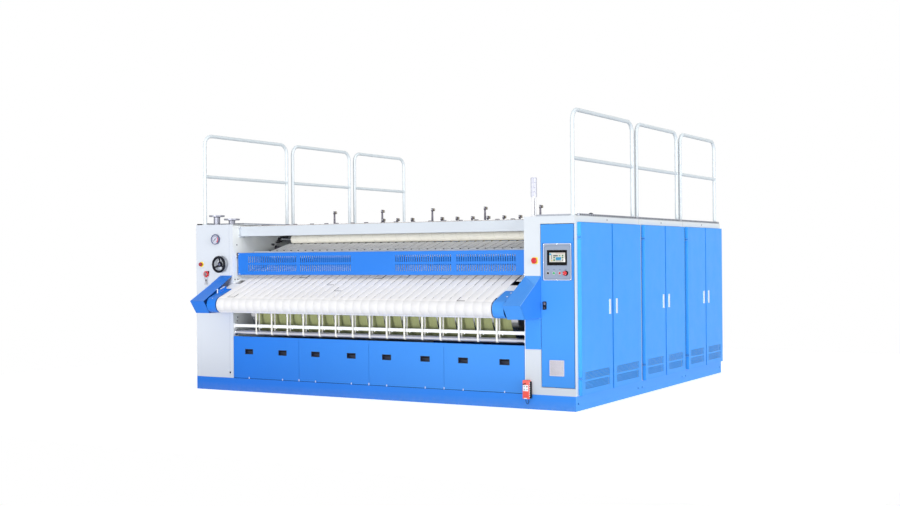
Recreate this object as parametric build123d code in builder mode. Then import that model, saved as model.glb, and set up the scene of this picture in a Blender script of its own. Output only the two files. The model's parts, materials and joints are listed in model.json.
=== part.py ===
"""Six-roll flatwork ironer, built as separate pieces.

X runs along the rolls (+X to the operator's right), +Y points to the back, +Z up.
The origin is the centre of the body's footprint, on the floor. All sizes in mm.
"""
from build123d import *
import math
import os

os.makedirs("parts", exist_ok=True)

# ---------------------------------------------------------------- driving dimensions
# Body
body_length = 4920.0
body_depth = 4546.0
body_height = 1940.0
front_module_depth = 1703.0
middle_module_depth = 1420.0
cabinet_width = 560.0
plinth_height = 150.0
plinth_beam = 100.0
deck_thickness = 6.0
plinth_wall = 8.0
module_gap = 1.0
seam = 0.5
frame_plate = 20.0
sheet = 4.0
joint_bolt_radius = 12.5
joint_bolt_inset = 60.0
joint_bolt_depth = 60.0

# Ironing rolls and the belts that press on them
roll_count = 6
roll_gap = 90.0
roll_row_room = 846.0
roll_row_shift = 40.0
roll_axis_drop = 990.0
roll_wall = 12.0
roll_end_plate = 20.0
roll_end_clearance = 150.0
roll_journal_radius = 60.0
roll_journal_bore = 25.0
roll_journal_reach = 180.0
running_clearance = 0.05
wall_clearance = 15.0
belt_thickness = 3.0
belt_running_gap = 0.5
wide_belt_end_gap = 66.25
wide_belt_gap = 19.5
wide_belt_count = 15
guide_bar_radius = 33.0
guide_bar_rise = 250.0

# Bearings and gearmotors
bearing_thickness = 60.0
bearing_margin = 48.0
gearbox_size = 280.0
gearbox_thickness = 120.0
gearbox_gap = 20.0
motor_radius = 90.0
motor_length = 320.0

# Feed conveyor
nose_reach = 367.0
nose_drop = 920.0
nose_roller_radius = 87.0
feed_slope = 21.7
feed_rear_setback = 483.0
feed_rear_radius = 50.0
feed_side_gap = 140.5
feed_belt_gap = 4.5
feed_belt_count = 34
small_journal_radius = 20.0
small_journal_wall = 6.0
bed_thickness = 4.0
feed_arm_height = 110.0
feed_arm_drop = 8.0
feed_arm_side_gap = 4.0

# Upper guide belts and the pressure roller
upper_nose_setback = 508.0
upper_nose_drop = 354.0
upper_nose_radius = 42.0
upper_rear_setback = 813.0
upper_rear_drop = 275.0
upper_rear_radius = 42.0
upper_side_gap = 175.75
upper_belt_gap = 4.5
upper_belt_count = 33
pressure_setback = 873.0
pressure_drop = 174.0
pressure_radius = 50.0
pressure_end_clearance = 210.0
felt_thickness = 8.0

# Return tapes under the nose
tape_roller_setback = 43.0
tape_roller_drop = 1257.0
tape_roller_radius = 25.0
tape_roller_end_clearance = 100.0
tape_top_drop = 920.0
tape_thickness = 2.0
tape_width = 22.0
tape_bar_size = 34.0
tape_bar_drop = 1180.0

# Cross beams
beam_setback = 133.0
beam_depth = 80.0
beam_bottom_drop = 140.0
beam_top_drop = 25.0
beam_flange = 12.0
beam_flange_margin = 25.0
guard_bar_setback = 393.0
guard_bar_drop = 335.0
guard_bar_size = 40.0
roof_thickness = 6.0

# Side wings and nose covers of the feed conveyor
wing_width = 174.0
wing_offset = 12.0
wing_top_drop = 598.0
wing_tip_reach = 497.0
wing_tip_drop = 880.0
wing_heel_reach = 397.0
wing_bottom_drop = 1019.0
lower_cover_drop = 1335.0
lower_cover_depth = 12.0
cover_sheet = 3.0
nose_cover_side_gap = 17.5
nose_cover_reach = 173.0
nose_bearing_plate = 15.0
feed_switch_length = 110.0
feed_switch_height = 26.0
feed_key_length = 26.0
feed_key_width = 16.0
feed_key_travel = 3.0
feed_lever_radius = 9.0
feed_lever_length = 42.0
feed_lever_lift = 5.5
feed_lever_pivot_radius = 4.0
feed_lever_pivot_length = 14.0
feed_key_places = (0.45, 0.80)

# Finger guard
guard_end_clearance = 20.0
guard_setback = 73.0
guard_bottom_drop = 592.0
guard_top_drop = 335.0
guard_sheet = 3.0
guard_return = 25.0
guard_pivot_drop = 16.0
guard_pivot_setback = 2.0
guard_pivot_radius = 6.0
slot_pitch_share = 0.01452
slot_width = 10.0
slot_count = 26
slot_row_rises = ((43.0, 118.0), (142.0, 217.0))
slot_group_shares = (-0.91596, -0.51596, 0.16702, 0.57234)

# Front lower covers
front_cover_count = 4
front_cover_bottom = 155.0
front_cover_drop = 1304.0
front_cover_depth = 30.0
front_cover_gap = 3.0
grip_width = 112.0
grip_height = 56.0
grip_depth = 24.0
grip_offset = 243.0
grip_drop = 1477.0
cover_pin_radius = 6.0
rear_cover_drop = 680.0

# Side doors and control door
door_outer = 45.0
door_stand_off = 3.0
door_bottom = 155.0
door_top_drop = 65.0
door_margin = 62.0
door_front_margin = 56.0
door_gap = 30.0
door_skin = 2.0
hinge_inset = 12.0
hinge_pin_radius = 4.0
hinge_arm_half = 6.0
hinge_arm_height = 20.0
hinge_lug_height = 30.0
hinge_end_distance = 160.0
hinge_gap = 2.0
handle_length = 155.0
handle_drop = 928.0
handle_width = 22.0
handle_reach = 12.0
handle_edge = 3.0
handle_inset = 75.0
louvre_rows = ((215.0, 295.0), (310.0, 385.0))
louvre_side_margin = 75.0
louvre_slot = 4.0
louvre_pitch = 13.0
control_door_inset = 190.0
control_door_end = 10.0
control_door_bottom = 232.0
control_door_drop = 82.0
control_door_proud = 5.0
control_door_depth = 30.0
control_door_gap = 6.0
pocket_depth = 15.0
pocket_inset = 204.0
pocket_end = 14.0
pocket_bottom_drop = 646.0
pocket_top_drop = 268.0
post_width = 36.0
header_drop = 60.0

# Operator panel on the control door
panel_inset = 215.0
panel_end = 39.0
panel_bottom_drop = 641.0
panel_top_drop = 275.0
panel_plate = 10.0
panel_box_margin = 12.0
panel_box_depth = 60.0
panel_box_wall = 3.0
screen_inset = 192.0
screen_drop = 416.5
screen_width = 217.0
screen_height = 152.0
screen_proud = 5.0
screen_body_margin = 8.0
screen_body_depth = 30.0
control_row_drop = 570.5
control_row_inset = 291.0
control_row_pitch = 64.5
key_ring_radius = 15.0
key_cap_radius = 11.5
key_ring_height = 5.0
key_cap_height = 8.0
key_stem_radius = 6.0
key_stem_length = 25.0
key_clearance = 0.3
panel_stop_radius = 22.5
panel_stop_base_radius = 26.0
panel_stop_base_height = 8.0
stop_head_height = 14.0
stop_head_round = 4.6
stop_neck_radius = 10.0
stop_neck_length = 14.0
latch_inset = 231.0
latch_drop = 894.0
latch_width = 38.0
latch_height = 82.0
latch_depth = 14.0
latch_shaft_radius = 6.0
latch_shaft_length = 30.0
vent_inset = 199.0
vent_z = 425.0
vent_size = 156.0
vent_depth = 8.0
vent_bar = 5.0
vent_bars = 9

# Controls on the cabinet fronts
right_stop_inset = 122.0
right_stop_drop = 444.0
right_stop_radius = 30.0
stop_plate_width = 66.0
stop_plate_thickness = 5.0
left_stop_inset = 83.0
left_stop_drop = 466.0
left_stop_radius = 23.0
left_stop_disc = 31.0
switch_inset = 162.0
switch_drop = 582.0
switch_radius = 38.0
switch_thickness = 16.0
switch_bar_width = 14.0
switch_bar_height = 14.0
switch_post = 26.0
key_ring_size = 18.0
key_ring_wire = 2.0
key_length = 62.0
key_width = 9.0
key_thickness = 2.5
key_lean = 8.0
gauge_inset = 314.0
gauge_drop = 173.0
gauge_radius = 60.0
gauge_depth = 34.0
gauge_rim = 6.0
gauge_recess = 10.0
needle_length = 40.0
needle_tail = 14.0
needle_width = 5.0
needle_thickness = 1.5
needle_rest_angle = 135.0
wheel_offset = 162.0
wheel_drop = 467.0
wheel_radius = 100.0
wheel_rim = 11.0
wheel_stand_off = 60.0
wheel_dish = 22.0
wheel_hub_radius = 30.0
wheel_hub_length = 24.0
wheel_spoke_radius = 8.0
wheel_spoke_angles = (90, 210, 330)
wheel_stem_radius = 9.0
wheel_stem_depth = 42.0
cable_hole_offset = 52.0
cable_hole_z = 212.0
cable_hole_radius = 12.0

# Steam pipes on the left cabinet
pipe_setback = 173.0
inlet_inset = 173.0
outlet_offset = 156.0
inlet_rise = 117.0
outlet_rise = 72.0
pipe_radius = 38.05
pipe_bore = 35.15
flange_radius = 92.5
flange_thickness = 18.0
flange_pcd = 145.0
flange_holes = 4
flange_hole_radius = 9.0
pipe_end_drop = 380.0
valve_size = 170.0

# Handrails, gratings, signal tower, tension posts
rail_inset = 60.0
rail_front_inset = 95.0
rail_rear_inset = 32.0
rail_tube = 21.0
rail_wall = 2.6
rail_corner = 120.0
rail_top_rise = 1090.0
rail_middle_rise = 580.0
rail_foot = 50.0
rail_foot_thickness = 6.0
grating_height = 22.0
grating_margin = 130.0
grating_pipe_margin = 300.0
grating_offset = 80.0
grating_rail_gap = 20.0
toe_strip_inset = 32.0
toe_strip_end = 8.0
toe_strip_height = 26.0
tower_offset = 30.0
tower_setback = 173.0
tower_pole_radius = 22.0
tower_pole_height = 205.0
tower_foot_radius = 29.0
tower_foot_height = 12.0
lens_radius = 32.0
lens_height = 200.0
lens_crown = 10.5
post_row_setback = 1363.0
tall_post_count = 5
tall_post_end_gap = 480.0
tall_post_height = 195.0
short_post_height = 88.0
short_post_pitch = 206.5
short_post_first = -700.0
short_post_count = 10
short_post_left_out = 3
post_section = 24.0
post_head_length = 48.0
post_head_half = 17.0
post_head_height = 38.0

# Remote control on its hook
remote_offset = 39.0
remote_bottom = 105.0
remote_width = 92.0
remote_height = 190.0
remote_depth = 38.0
remote_gap = 12.0
remote_corner = 8.0
hook_z = 232.0
hook_width = 24.0
hook_tongue = 3.0
hook_tongue_height = 22.0
hook_gap = 1.5
strap_radius = 2.5
strap_span = 32.0
strap_drop = 50.0
strap_bend_share = 0.98

# ---------------------------------------------------------------- derived places
half_length = body_length / 2
front_y = -body_depth / 2
back_y = body_depth / 2
inner_x = half_length - cabinet_width
roll_axis_height = body_height - roll_axis_drop
nose_z = body_height - nose_drop
upper_nose_z = body_height - upper_nose_drop
upper_rear_z = body_height - upper_rear_drop
pressure_z = body_height - pressure_drop
tape_roller_z = body_height - tape_roller_drop
tape_top_z = body_height - tape_top_drop
tape_bar_z = body_height - tape_bar_drop
beam_bottom_z = body_height - beam_bottom_drop
beam_top_z = body_height - beam_top_drop
guard_bar_z = body_height - guard_bar_drop
wing_top_z = body_height - wing_top_drop
wing_tip_z = body_height - wing_tip_drop
wing_bottom_z = body_height - wing_bottom_drop
lower_cover_bottom_z = body_height - lower_cover_drop
guard_bottom_z = body_height - guard_bottom_drop
guard_top_z = body_height - guard_top_drop
front_cover_top = body_height - front_cover_drop
grip_z = body_height - grip_drop
rear_cover_bottom = body_height - rear_cover_drop
door_top = body_height - door_top_drop
handle_z = body_height - handle_drop
control_door_top = body_height - control_door_drop
pocket_bottom = body_height - pocket_bottom_drop
pocket_top = body_height - pocket_top_drop
header_bottom = body_height - header_drop
panel_bottom = body_height - panel_bottom_drop
panel_top = body_height - panel_top_drop
screen_z = body_height - screen_drop
control_row_z = body_height - control_row_drop
latch_z = body_height - latch_drop
right_stop_z = body_height - right_stop_drop
left_stop_z = body_height - left_stop_drop
switch_z = body_height - switch_drop
gauge_z = body_height - gauge_drop
wheel_z = body_height - wheel_drop
pipe_end_z = body_height - pipe_end_drop
inlet_top_z = body_height + inlet_rise
outlet_top_z = body_height + outlet_rise
rail_top_z = body_height + rail_top_rise
rail_middle_z = body_height + rail_middle_rise
feed_rear_y = front_y + feed_rear_setback
upper_nose_y = front_y + upper_nose_setback
upper_rear_y = front_y + upper_rear_setback
pressure_y = front_y + pressure_setback
tape_roller_y = front_y + tape_roller_setback
beam_front_y = front_y + beam_setback
guard_bar_y = front_y + guard_bar_setback
guard_front_y = front_y + guard_setback
pipe_y = front_y + pipe_setback
tower_y = front_y + tower_setback
post_row_y = front_y + post_row_setback
nose_y = front_y - nose_reach
wing_tip_y = front_y - wing_tip_reach
wing_heel_y = front_y - wing_heel_reach
nose_cover_back_y = front_y - nose_cover_reach
roll_half_length = inner_x - roll_end_clearance
pressure_half_length = inner_x - pressure_end_clearance
tape_roller_half_length = inner_x - tape_roller_end_clearance
guard_half_length = inner_x - guard_end_clearance
control_door_left = inner_x + control_door_inset
control_door_right = half_length - control_door_end
pocket_left = inner_x + pocket_inset
pocket_right = half_length - pocket_end
panel_left = inner_x + panel_inset
panel_right = half_length - panel_end
screen_x = half_length - screen_inset
control_row_start = half_length - control_row_inset
latch_x = inner_x + latch_inset
vent_x = half_length - vent_inset
right_stop_x = inner_x + right_stop_inset
left_stop_x = -half_length + left_stop_inset
switch_x = -half_length + switch_inset
gauge_x = -half_length + gauge_inset
wheel_x = -inner_x - wheel_offset
cable_hole_x = -inner_x - cable_hole_offset
inlet_x = -half_length + inlet_inset
outlet_x = -inner_x - outlet_offset
rail_x = half_length - rail_inset
grating_inner_x = inner_x + grating_offset
toe_strip_inner_x = half_length - toe_strip_inset
toe_strip_outer_x = half_length - toe_strip_end
tower_x = inner_x + tower_offset
remote_x = inner_x + remote_offset
roll_pitch = (body_depth - roll_row_room) / (roll_count - 1)
roll_radius = (roll_pitch - roll_gap) / 2
wide_belt_pitch = 2 * (roll_half_length - wide_belt_end_gap) / wide_belt_count
wide_belt_width = wide_belt_pitch - wide_belt_gap
feed_belt_pitch = 2 * (inner_x - feed_side_gap) / feed_belt_count
feed_belt_width = feed_belt_pitch - feed_belt_gap
upper_belt_pitch = 2 * (inner_x - upper_side_gap) / upper_belt_count
upper_belt_width = upper_belt_pitch - upper_belt_gap
slot_pitch = guard_half_length * slot_pitch_share
slot_group_starts = [guard_half_length * share for share in slot_group_shares]
slot_rows = [(guard_bottom_z + low, guard_bottom_z + high) for low, high in slot_row_rises]
tall_post_pitch = 2 * (inner_x - tall_post_end_gap) / (tall_post_count - 1)
module_edges = [
    front_y,
    front_y + front_module_depth,
    front_y + front_module_depth + middle_module_depth,
    back_y,
]
frame_top = body_height - 2 * sheet
deck_top = plinth_height
roll_first_y = -(roll_count - 1) / 2 * roll_pitch + roll_row_shift
roll_ys = [roll_first_y + n * roll_pitch for n in range(roll_count)]
slope = math.radians(feed_slope)
feed_normal = (-math.sin(slope), math.cos(slope))
feed_outer = nose_roller_radius + belt_running_gap + belt_thickness
feed_top_y = nose_y + feed_outer * feed_normal[0]
feed_top_z = nose_z + feed_outer * feed_normal[1]
SIDES = {"left": -1, "right": 1}


def feed_line(y):
    """Height of the feed belts' top face at depth y."""
    return feed_top_z + (y - feed_top_y) * math.tan(slope)


# The rear roller's centre lies under the belt line, square to it.
rear_outer = feed_rear_radius + belt_running_gap + belt_thickness
rear_touch_y = feed_rear_y + rear_outer * feed_normal[0]
feed_rear_z = feed_line(rear_touch_y) - rear_outer * feed_normal[1]


# ---------------------------------------------------------------- small helpers
def block(x_span, y_span, z_span, mode=Mode.ADD):
    """Add (or cut) a box between two limits on each axis."""
    spans = (x_span, y_span, z_span)
    with Locations(tuple((a + b) / 2 for a, b in spans)):
        Box(*(abs(b - a) for a, b in spans), mode=mode)


def rod_x(y, z, radius, x_span, mode=Mode.ADD):
    """Add (or cut) a round bar that runs along X."""
    with BuildSketch(Plane.YZ.offset(min(x_span))) as section:
        with Locations((y, z)):
            Circle(radius)
    extrude(section.sketch, amount=max(x_span) - min(x_span), mode=mode)


def rod_y(x, z, radius, y_span, mode=Mode.ADD):
    """Add (or cut) a round bar that runs along Y."""
    with BuildSketch(Plane.XZ.offset(-max(y_span))) as section:
        with Locations((x, z)):
            Circle(radius)
    extrude(section.sketch, amount=max(y_span) - min(y_span), mode=mode)


def rod_z(x, y, radius, z_span, mode=Mode.ADD):
    """Add (or cut) an upright round bar."""
    with BuildSketch(Plane.XY.offset(min(z_span))) as section:
        with Locations((x, y)):
            Circle(radius)
    extrude(section.sketch, amount=max(z_span) - min(z_span), mode=mode)


def side_profile(points, x_span, mode=Mode.ADD):
    """Extrude a polygon of (y, z) points along X."""
    with BuildSketch(Plane.YZ.offset(min(x_span))) as section:
        with BuildLine():
            Polyline(*points, close=True)
        make_face()
    extrude(section.sketch, amount=max(x_span) - min(x_span), mode=mode)


def hollow_roller(y, z, radius, wall, half_barrel, journal, bore, reach_x, end_plate):
    """Revolve a barrel with end plates and bored journals about its own axis along X."""
    profile = [
        (-reach_x, bore),
        (-reach_x, journal),
        (-half_barrel, journal),
        (-half_barrel, radius),
        (half_barrel, radius),
        (half_barrel, journal),
        (reach_x, journal),
        (reach_x, bore),
        (half_barrel - end_plate, bore),
        (half_barrel - end_plate, radius - wall),
        (-half_barrel + end_plate, radius - wall),
        (-half_barrel + end_plate, bore),
    ]
    axis_plane = Plane(origin=(0, y, z), x_dir=(1, 0, 0), z_dir=(0, -1, 0))
    with BuildSketch(axis_plane) as section:
        with BuildLine():
            Polyline(*profile, close=True)
        make_face()
    revolve(section.sketch, axis=Axis((0, y, z), (1, 0, 0)))


def belt_loop(rollers, thickness, x_centre, width):
    """Add one flat belt round two rollers given as (y, z, radius)."""
    with BuildSketch(Plane.YZ.offset(x_centre - width / 2)) as outer:
        for y, z, radius in rollers:
            with Locations((y, z)):
                Circle(radius + thickness)
        make_hull()
    with BuildSketch(Plane.YZ.offset(x_centre - width / 2)) as inner:
        for y, z, radius in rollers:
            with Locations((y, z)):
                Circle(radius)
        make_hull()
    extrude(outer.sketch, amount=width)
    extrude(inner.sketch, amount=width, mode=Mode.SUBTRACT)


def row_of(count, pitch):
    """Centred positions of a row of equal parts."""
    return [(n - (count - 1) / 2) * pitch for n in range(count)]


# ---------------------------------------------------------------- base frame
# Three bolted modules: channel beams all round each one, a middle beam, and deck plates between.
def channel(x_span, y_span, opening_down=True):
    """Add one folded channel beam of the base, open downwards or upwards."""
    block(x_span, y_span, (0, plinth_height))
    hollow_z = (-1, plinth_height - plinth_wall) if opening_down else (plinth_wall, plinth_height + 1)
    block(
        (min(x_span) + plinth_wall, max(x_span) - plinth_wall),
        (min(y_span) + plinth_wall, max(y_span) - plinth_wall),
        hollow_z,
        mode=Mode.SUBTRACT,
    )


with BuildPart() as base_frame:
    for n in range(3):
        y0 = module_edges[n] + (module_gap / 2 if n > 0 else 0)
        y1 = module_edges[n + 1] - (module_gap / 2 if n < 2 else 0)
        inside_y = (y0 + plinth_beam + seam, y1 - plinth_beam - seam)
        channel((-half_length, half_length), (y0, y0 + plinth_beam))
        channel((-half_length, half_length), (y1 - plinth_beam, y1))
        channel((-plinth_beam / 2, plinth_beam / 2), inside_y, opening_down=False)
        for side in SIDES.values():
            side_beam_x = side * (half_length - plinth_beam)
            channel((side_beam_x, side * half_length), inside_y)
            block(
                (side * (plinth_beam / 2 + seam), side_beam_x - side * seam),
                inside_y,
                (plinth_height - deck_thickness, plinth_height),
            )
            for y in (y0 + joint_bolt_inset, y1 - joint_bolt_inset):
                face = side * half_length
                rod_x(
                    y,
                    plinth_height / 2,
                    joint_bolt_radius,
                    (face - side * joint_bolt_depth, face + side),
                    mode=Mode.SUBTRACT,
                )
base_frame.part.label = "base_frame"
export_step(base_frame.part, "parts/base_frame.step")

# ---------------------------------------------------------------- side frames
# Every journal that passes through a side frame: (y, z, journal radius)
journals = [(y, roll_axis_height, roll_journal_radius) for y in roll_ys]
journals += [
    (feed_rear_y, feed_rear_z, small_journal_radius),
    (upper_rear_y, upper_rear_z, small_journal_radius),
    (pressure_y, pressure_z, small_journal_radius),
    (tape_roller_y, tape_roller_z, small_journal_radius),
]
guard_pivot_y = guard_front_y + guard_pivot_setback
guard_pivot_z = guard_top_z - guard_pivot_drop


def side_frame(side):
    """Add the plate between the rolls and one cabinet, bored for every journal."""
    span = (side * inner_x, side * (inner_x + frame_plate))
    block(span, (front_y + sheet, back_y - sheet), (deck_top, frame_top - sheet))
    for y, z, radius in journals:
        rod_x(y, z, radius + wall_clearance, span, mode=Mode.SUBTRACT)
    rod_x(
        guard_pivot_y,
        guard_pivot_z,
        guard_pivot_radius + running_clearance,
        span,
        mode=Mode.SUBTRACT,
    )


with BuildPart() as side_frame_left:
    side_frame(SIDES["left"])
side_frame_left.part.label = "side_frame_left"
export_step(side_frame_left.part, "parts/side_frame_left.step")

with BuildPart() as side_frame_right:
    side_frame(SIDES["right"])
side_frame_right.part.label = "side_frame_right"
export_step(side_frame_right.part, "parts/side_frame_right.step")

# ---------------------------------------------------------------- doors: sizes and hinge places
# Each module has a pair of equal doors.
door_spans = []
for n in range(3):
    start = module_edges[n] + (door_front_margin if n == 0 else door_margin)
    end = module_edges[n + 1] - door_margin
    door_width = (end - start - door_gap) / 2
    door_spans.append((start, start + door_width))
    door_spans.append((end - door_width, end))
door_back_x = half_length + door_stand_off
door_front_x = half_length + door_outer
hinge_x = door_front_x - hinge_inset
hinge_heights = (door_bottom + hinge_end_distance, door_top - hinge_end_distance)


def hinge_y(index):
    """Hinge axis of side door index: the front door of a pair hinges at its front edge."""
    y0, y1 = door_spans[index]
    return y0 + hinge_inset if index % 2 == 0 else y1 - hinge_inset


control_front_y = front_y - control_door_proud
control_hinge_x = control_door_right - hinge_inset
control_hinge_y = control_front_y + hinge_inset
control_hinge_heights = (
    control_door_bottom + hinge_end_distance,
    control_door_top - hinge_end_distance,
)

# ---------------------------------------------------------------- cabinets
# Screwed sheets: front, roof and back, with rails and posts along the outer side.
post_spans = [(module_edges[0] + sheet + seam, door_spans[0][0] + post_width / 2)]
for n in range(5):
    middle = (door_spans[n][1] + door_spans[n + 1][0]) / 2
    half = max(post_width, door_spans[n + 1][0] - door_spans[n][1] + post_width) / 2
    post_spans.append((middle - half, middle + half))
post_spans.append((door_spans[5][1] - post_width / 2, module_edges[3] - sheet - seam))


def cabinet_shell(side):
    """Add one cabinet's sheets, rails and posts, each a piece of its own."""
    width = (side * inner_x, side * half_length)
    outer_skin = (side * (half_length - sheet), side * half_length)
    between = (front_y + sheet + seam, back_y - sheet - seam)
    block(width, (front_y, front_y + sheet), (deck_top, body_height))
    block(width, (back_y - sheet, back_y), (deck_top, body_height))
    block(width, between, (body_height - sheet, body_height))
    block(outer_skin, between, (header_bottom, body_height - sheet - seam))
    block(outer_skin, between, (deck_top, deck_top + post_width))
    for span in post_spans:
        block(outer_skin, span, (deck_top + post_width + seam, header_bottom - seam))


with BuildPart() as cabinet_left:
    cabinet_shell(SIDES["left"])
    # the left side is closed by plain sheets between its posts
    for n in range(6):
        block(
            (-half_length, -half_length + sheet),
            (post_spans[n][1] + seam, post_spans[n + 1][0] - seam),
            (deck_top + post_width + seam, header_bottom - seam),
        )
    for x, z, radius in (
        (wheel_x, wheel_z, wheel_stem_radius + key_clearance),
        (left_stop_x, left_stop_z, stop_neck_radius + key_clearance),
        (cable_hole_x, cable_hole_z, cable_hole_radius),
    ):
        rod_y(x, z, radius, (front_y - 1, front_y + sheet + 1), mode=Mode.SUBTRACT)
    for x in (inlet_x, outlet_x):
        rod_z(x, pipe_y, pipe_radius, (body_height - 2 * sheet, body_height + 1), Mode.SUBTRACT)
cabinet_left.part.label = "cabinet_left"
export_step(cabinet_left.part, "parts/cabinet_left.step")

with BuildPart() as cabinet_right:
    cabinet_shell(SIDES["right"])
    block(
        (control_door_left - control_door_gap, control_door_right + control_door_gap),
        (front_y - 1, front_y + sheet + 1),
        (control_door_bottom - control_door_gap, control_door_top + control_door_gap),
        mode=Mode.SUBTRACT,
    )
    rod_y(
        right_stop_x,
        right_stop_z,
        stop_neck_radius + key_clearance,
        (front_y - 1, front_y + sheet + 1),
        mode=Mode.SUBTRACT,
    )
cabinet_right.part.label = "cabinet_right"
export_step(cabinet_right.part, "parts/cabinet_right.step")

# ---------------------------------------------------------------- hinges
# Each hinge is an arm from the frame that carries an upright pin.
with BuildPart() as door_hinges:
    for n in range(6):
        for z in hinge_heights:
            block(
                (half_length, hinge_x),
                (hinge_y(n) - hinge_arm_half, hinge_y(n) + hinge_arm_half),
                (z, z + hinge_arm_height),
            )
            rod_z(hinge_x, hinge_y(n), hinge_arm_half, (z, z + hinge_arm_height))
            rod_z(hinge_x, hinge_y(n), hinge_pin_radius, (z, z + hinge_arm_height + hinge_lug_height))
    arm_back_y = control_front_y + control_door_depth + 2 * hinge_arm_half
    for z in control_hinge_heights:
        block(
            (control_hinge_x - hinge_arm_half, control_hinge_x + hinge_arm_half),
            (control_hinge_y, arm_back_y),
            (z, z + hinge_arm_height),
        )
        block(
            (control_hinge_x - hinge_arm_half, half_length - sheet),
            (arm_back_y - hinge_arm_half, arm_back_y + hinge_arm_half),
            (z, z + hinge_arm_height),
        )
        rod_z(control_hinge_x, control_hinge_y, hinge_arm_half, (z, z + hinge_arm_height))
        rod_z(
            control_hinge_x,
            control_hinge_y,
            hinge_pin_radius,
            (z, z + hinge_arm_height + hinge_lug_height),
        )
door_hinges.part.label = "door_hinges"
export_step(door_hinges.part, "parts/door_hinges.step")


# ---------------------------------------------------------------- side doors
def side_pan(side, span, skin=door_skin):
    """Add a shallow pan with its open back towards the cabinet's side."""
    y0, y1 = span
    back = side * door_back_x
    face = side * door_front_x
    block((back, face), (y0, y1), (door_bottom, door_top))
    block(
        (back - side, face - side * skin),
        (y0 + skin, y1 - skin),
        (door_bottom + skin, door_top - skin),
        mode=Mode.SUBTRACT,
    )


def pull_handle(y):
    """Add an upright pull block with rounded corners, seated on the door's face."""
    foot_plane = Plane(origin=(door_front_x + seam / 2, y, handle_z), x_dir=(0, 1, 0), z_dir=(1, 0, 0))
    with BuildSketch(foot_plane) as pull:
        RectangleRounded(handle_width, handle_length, handle_edge)
    extrude(pull.sketch, amount=handle_reach - seam / 2)


for n in range(6):
    y0, y1 = door_spans[n]
    pin_y = hinge_y(n)
    hinge_edge = y0 if n % 2 == 0 else y1
    inward = 1 if n % 2 == 0 else -1
    free_edge = y1 if n % 2 == 0 else y0
    with BuildPart() as side_door:
        side_pan(1, (y0, y1))
        for z in hinge_heights:
            # a notch lets the hinge arm into the pan, and a lug turns on the pin
            block(
                (door_back_x - 1, door_front_x - door_skin),
                (hinge_edge - inward, hinge_edge + inward * door_skin),
                (z - hinge_gap, z + hinge_arm_height + hinge_gap),
                mode=Mode.SUBTRACT,
            )
            block(
                (hinge_x - hinge_arm_half, door_front_x - door_skin / 2),
                (hinge_edge, pin_y + inward * hinge_arm_half),
                (z + hinge_arm_height + hinge_gap, z + hinge_arm_height + hinge_lug_height),
            )
            rod_z(
                hinge_x,
                pin_y,
                hinge_pin_radius + running_clearance,
                (z + hinge_arm_height, z + hinge_arm_height + hinge_lug_height + 1),
                mode=Mode.SUBTRACT,
            )
        for low, high in louvre_rows:
            slots = int((high - low - louvre_slot) / louvre_pitch) + 1
            for k in range(slots):
                z = low + k * louvre_pitch
                block(
                    (door_front_x - door_skin - 1, door_front_x + 1),
                    (y0 + louvre_side_margin, y1 - louvre_side_margin),
                    (z, z + louvre_slot),
                    mode=Mode.SUBTRACT,
                )
        pull_handle(free_edge - inward * handle_inset)
    side_door.part.label = f"side_door_{n + 1}"
    export_step(side_door.part, f"parts/side_door_{n + 1}.step")

# ---------------------------------------------------------------- fixed service covers
# Screwed covers close the left side and the back, where a service space is behind.
cover_width = (2 * inner_x - (front_cover_count + 1) * front_cover_gap) / front_cover_count
cover_starts = [
    -inner_x + front_cover_gap + n * (cover_width + front_cover_gap)
    for n in range(front_cover_count)
]
with BuildPart() as service_covers:
    for span in door_spans:
        block(
            (-half_length, -door_front_x),
            span,
            (door_bottom, door_top),
        )
        block(
            (-half_length + 1, -door_front_x + door_skin),
            (span[0] + door_skin, span[1] - door_skin),
            (door_bottom + door_skin, door_top - door_skin),
            mode=Mode.SUBTRACT,
        )
    for x in cover_starts:
        for low, high in (
            (front_cover_bottom, front_cover_top),
            (rear_cover_bottom, beam_bottom_z - front_cover_gap),
        ):
            block((x, x + cover_width), (back_y - front_cover_depth, back_y), (low, high))
            block(
                (x + door_skin, x + cover_width - door_skin),
                (back_y - front_cover_depth - 1, back_y - door_skin),
                (low + door_skin, high - door_skin),
                mode=Mode.SUBTRACT,
            )
service_covers.part.label = "service_covers"
export_step(service_covers.part, "parts/service_covers.step")

# ---------------------------------------------------------------- front lower covers
# Lift-off pans with two recessed grips each, standing on pins in the deck.
with BuildPart() as front_covers:
    for x in cover_starts:
        block(
            (x, x + cover_width),
            (front_y, front_y + front_cover_depth),
            (front_cover_bottom, front_cover_top),
        )
        block(
            (x + door_skin, x + cover_width - door_skin),
            (front_y + door_skin, front_y + front_cover_depth + 1),
            (front_cover_bottom + door_skin, front_cover_top - door_skin),
            mode=Mode.SUBTRACT,
        )
        for offset in (-grip_offset, grip_offset):
            grip_x = x + cover_width / 2 + offset
            grip_span = (grip_x - grip_width / 2, grip_x + grip_width / 2)
            grip_rise = (grip_z - grip_height / 2, grip_z + grip_height / 2)
            block(
                (grip_span[0] - seam, grip_span[1] + seam),
                (front_y - 1, front_y + door_skin + 1),
                (grip_rise[0] - seam, grip_rise[1] + seam),
                mode=Mode.SUBTRACT,
            )
            block(grip_span, (front_y, front_y + grip_depth), grip_rise)
            block(
                (grip_span[0] + door_skin, grip_span[1] - door_skin),
                (front_y - 1, front_y + grip_depth - door_skin),
                (grip_rise[0] + door_skin, grip_rise[1] - door_skin),
                mode=Mode.SUBTRACT,
            )
            rod_z(
                grip_x,
                front_y + front_cover_depth / 2,
                cover_pin_radius,
                (deck_top, front_cover_bottom + door_skin),
            )
front_covers.part.label = "front_covers"
export_step(front_covers.part, "parts/front_covers.step")

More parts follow.
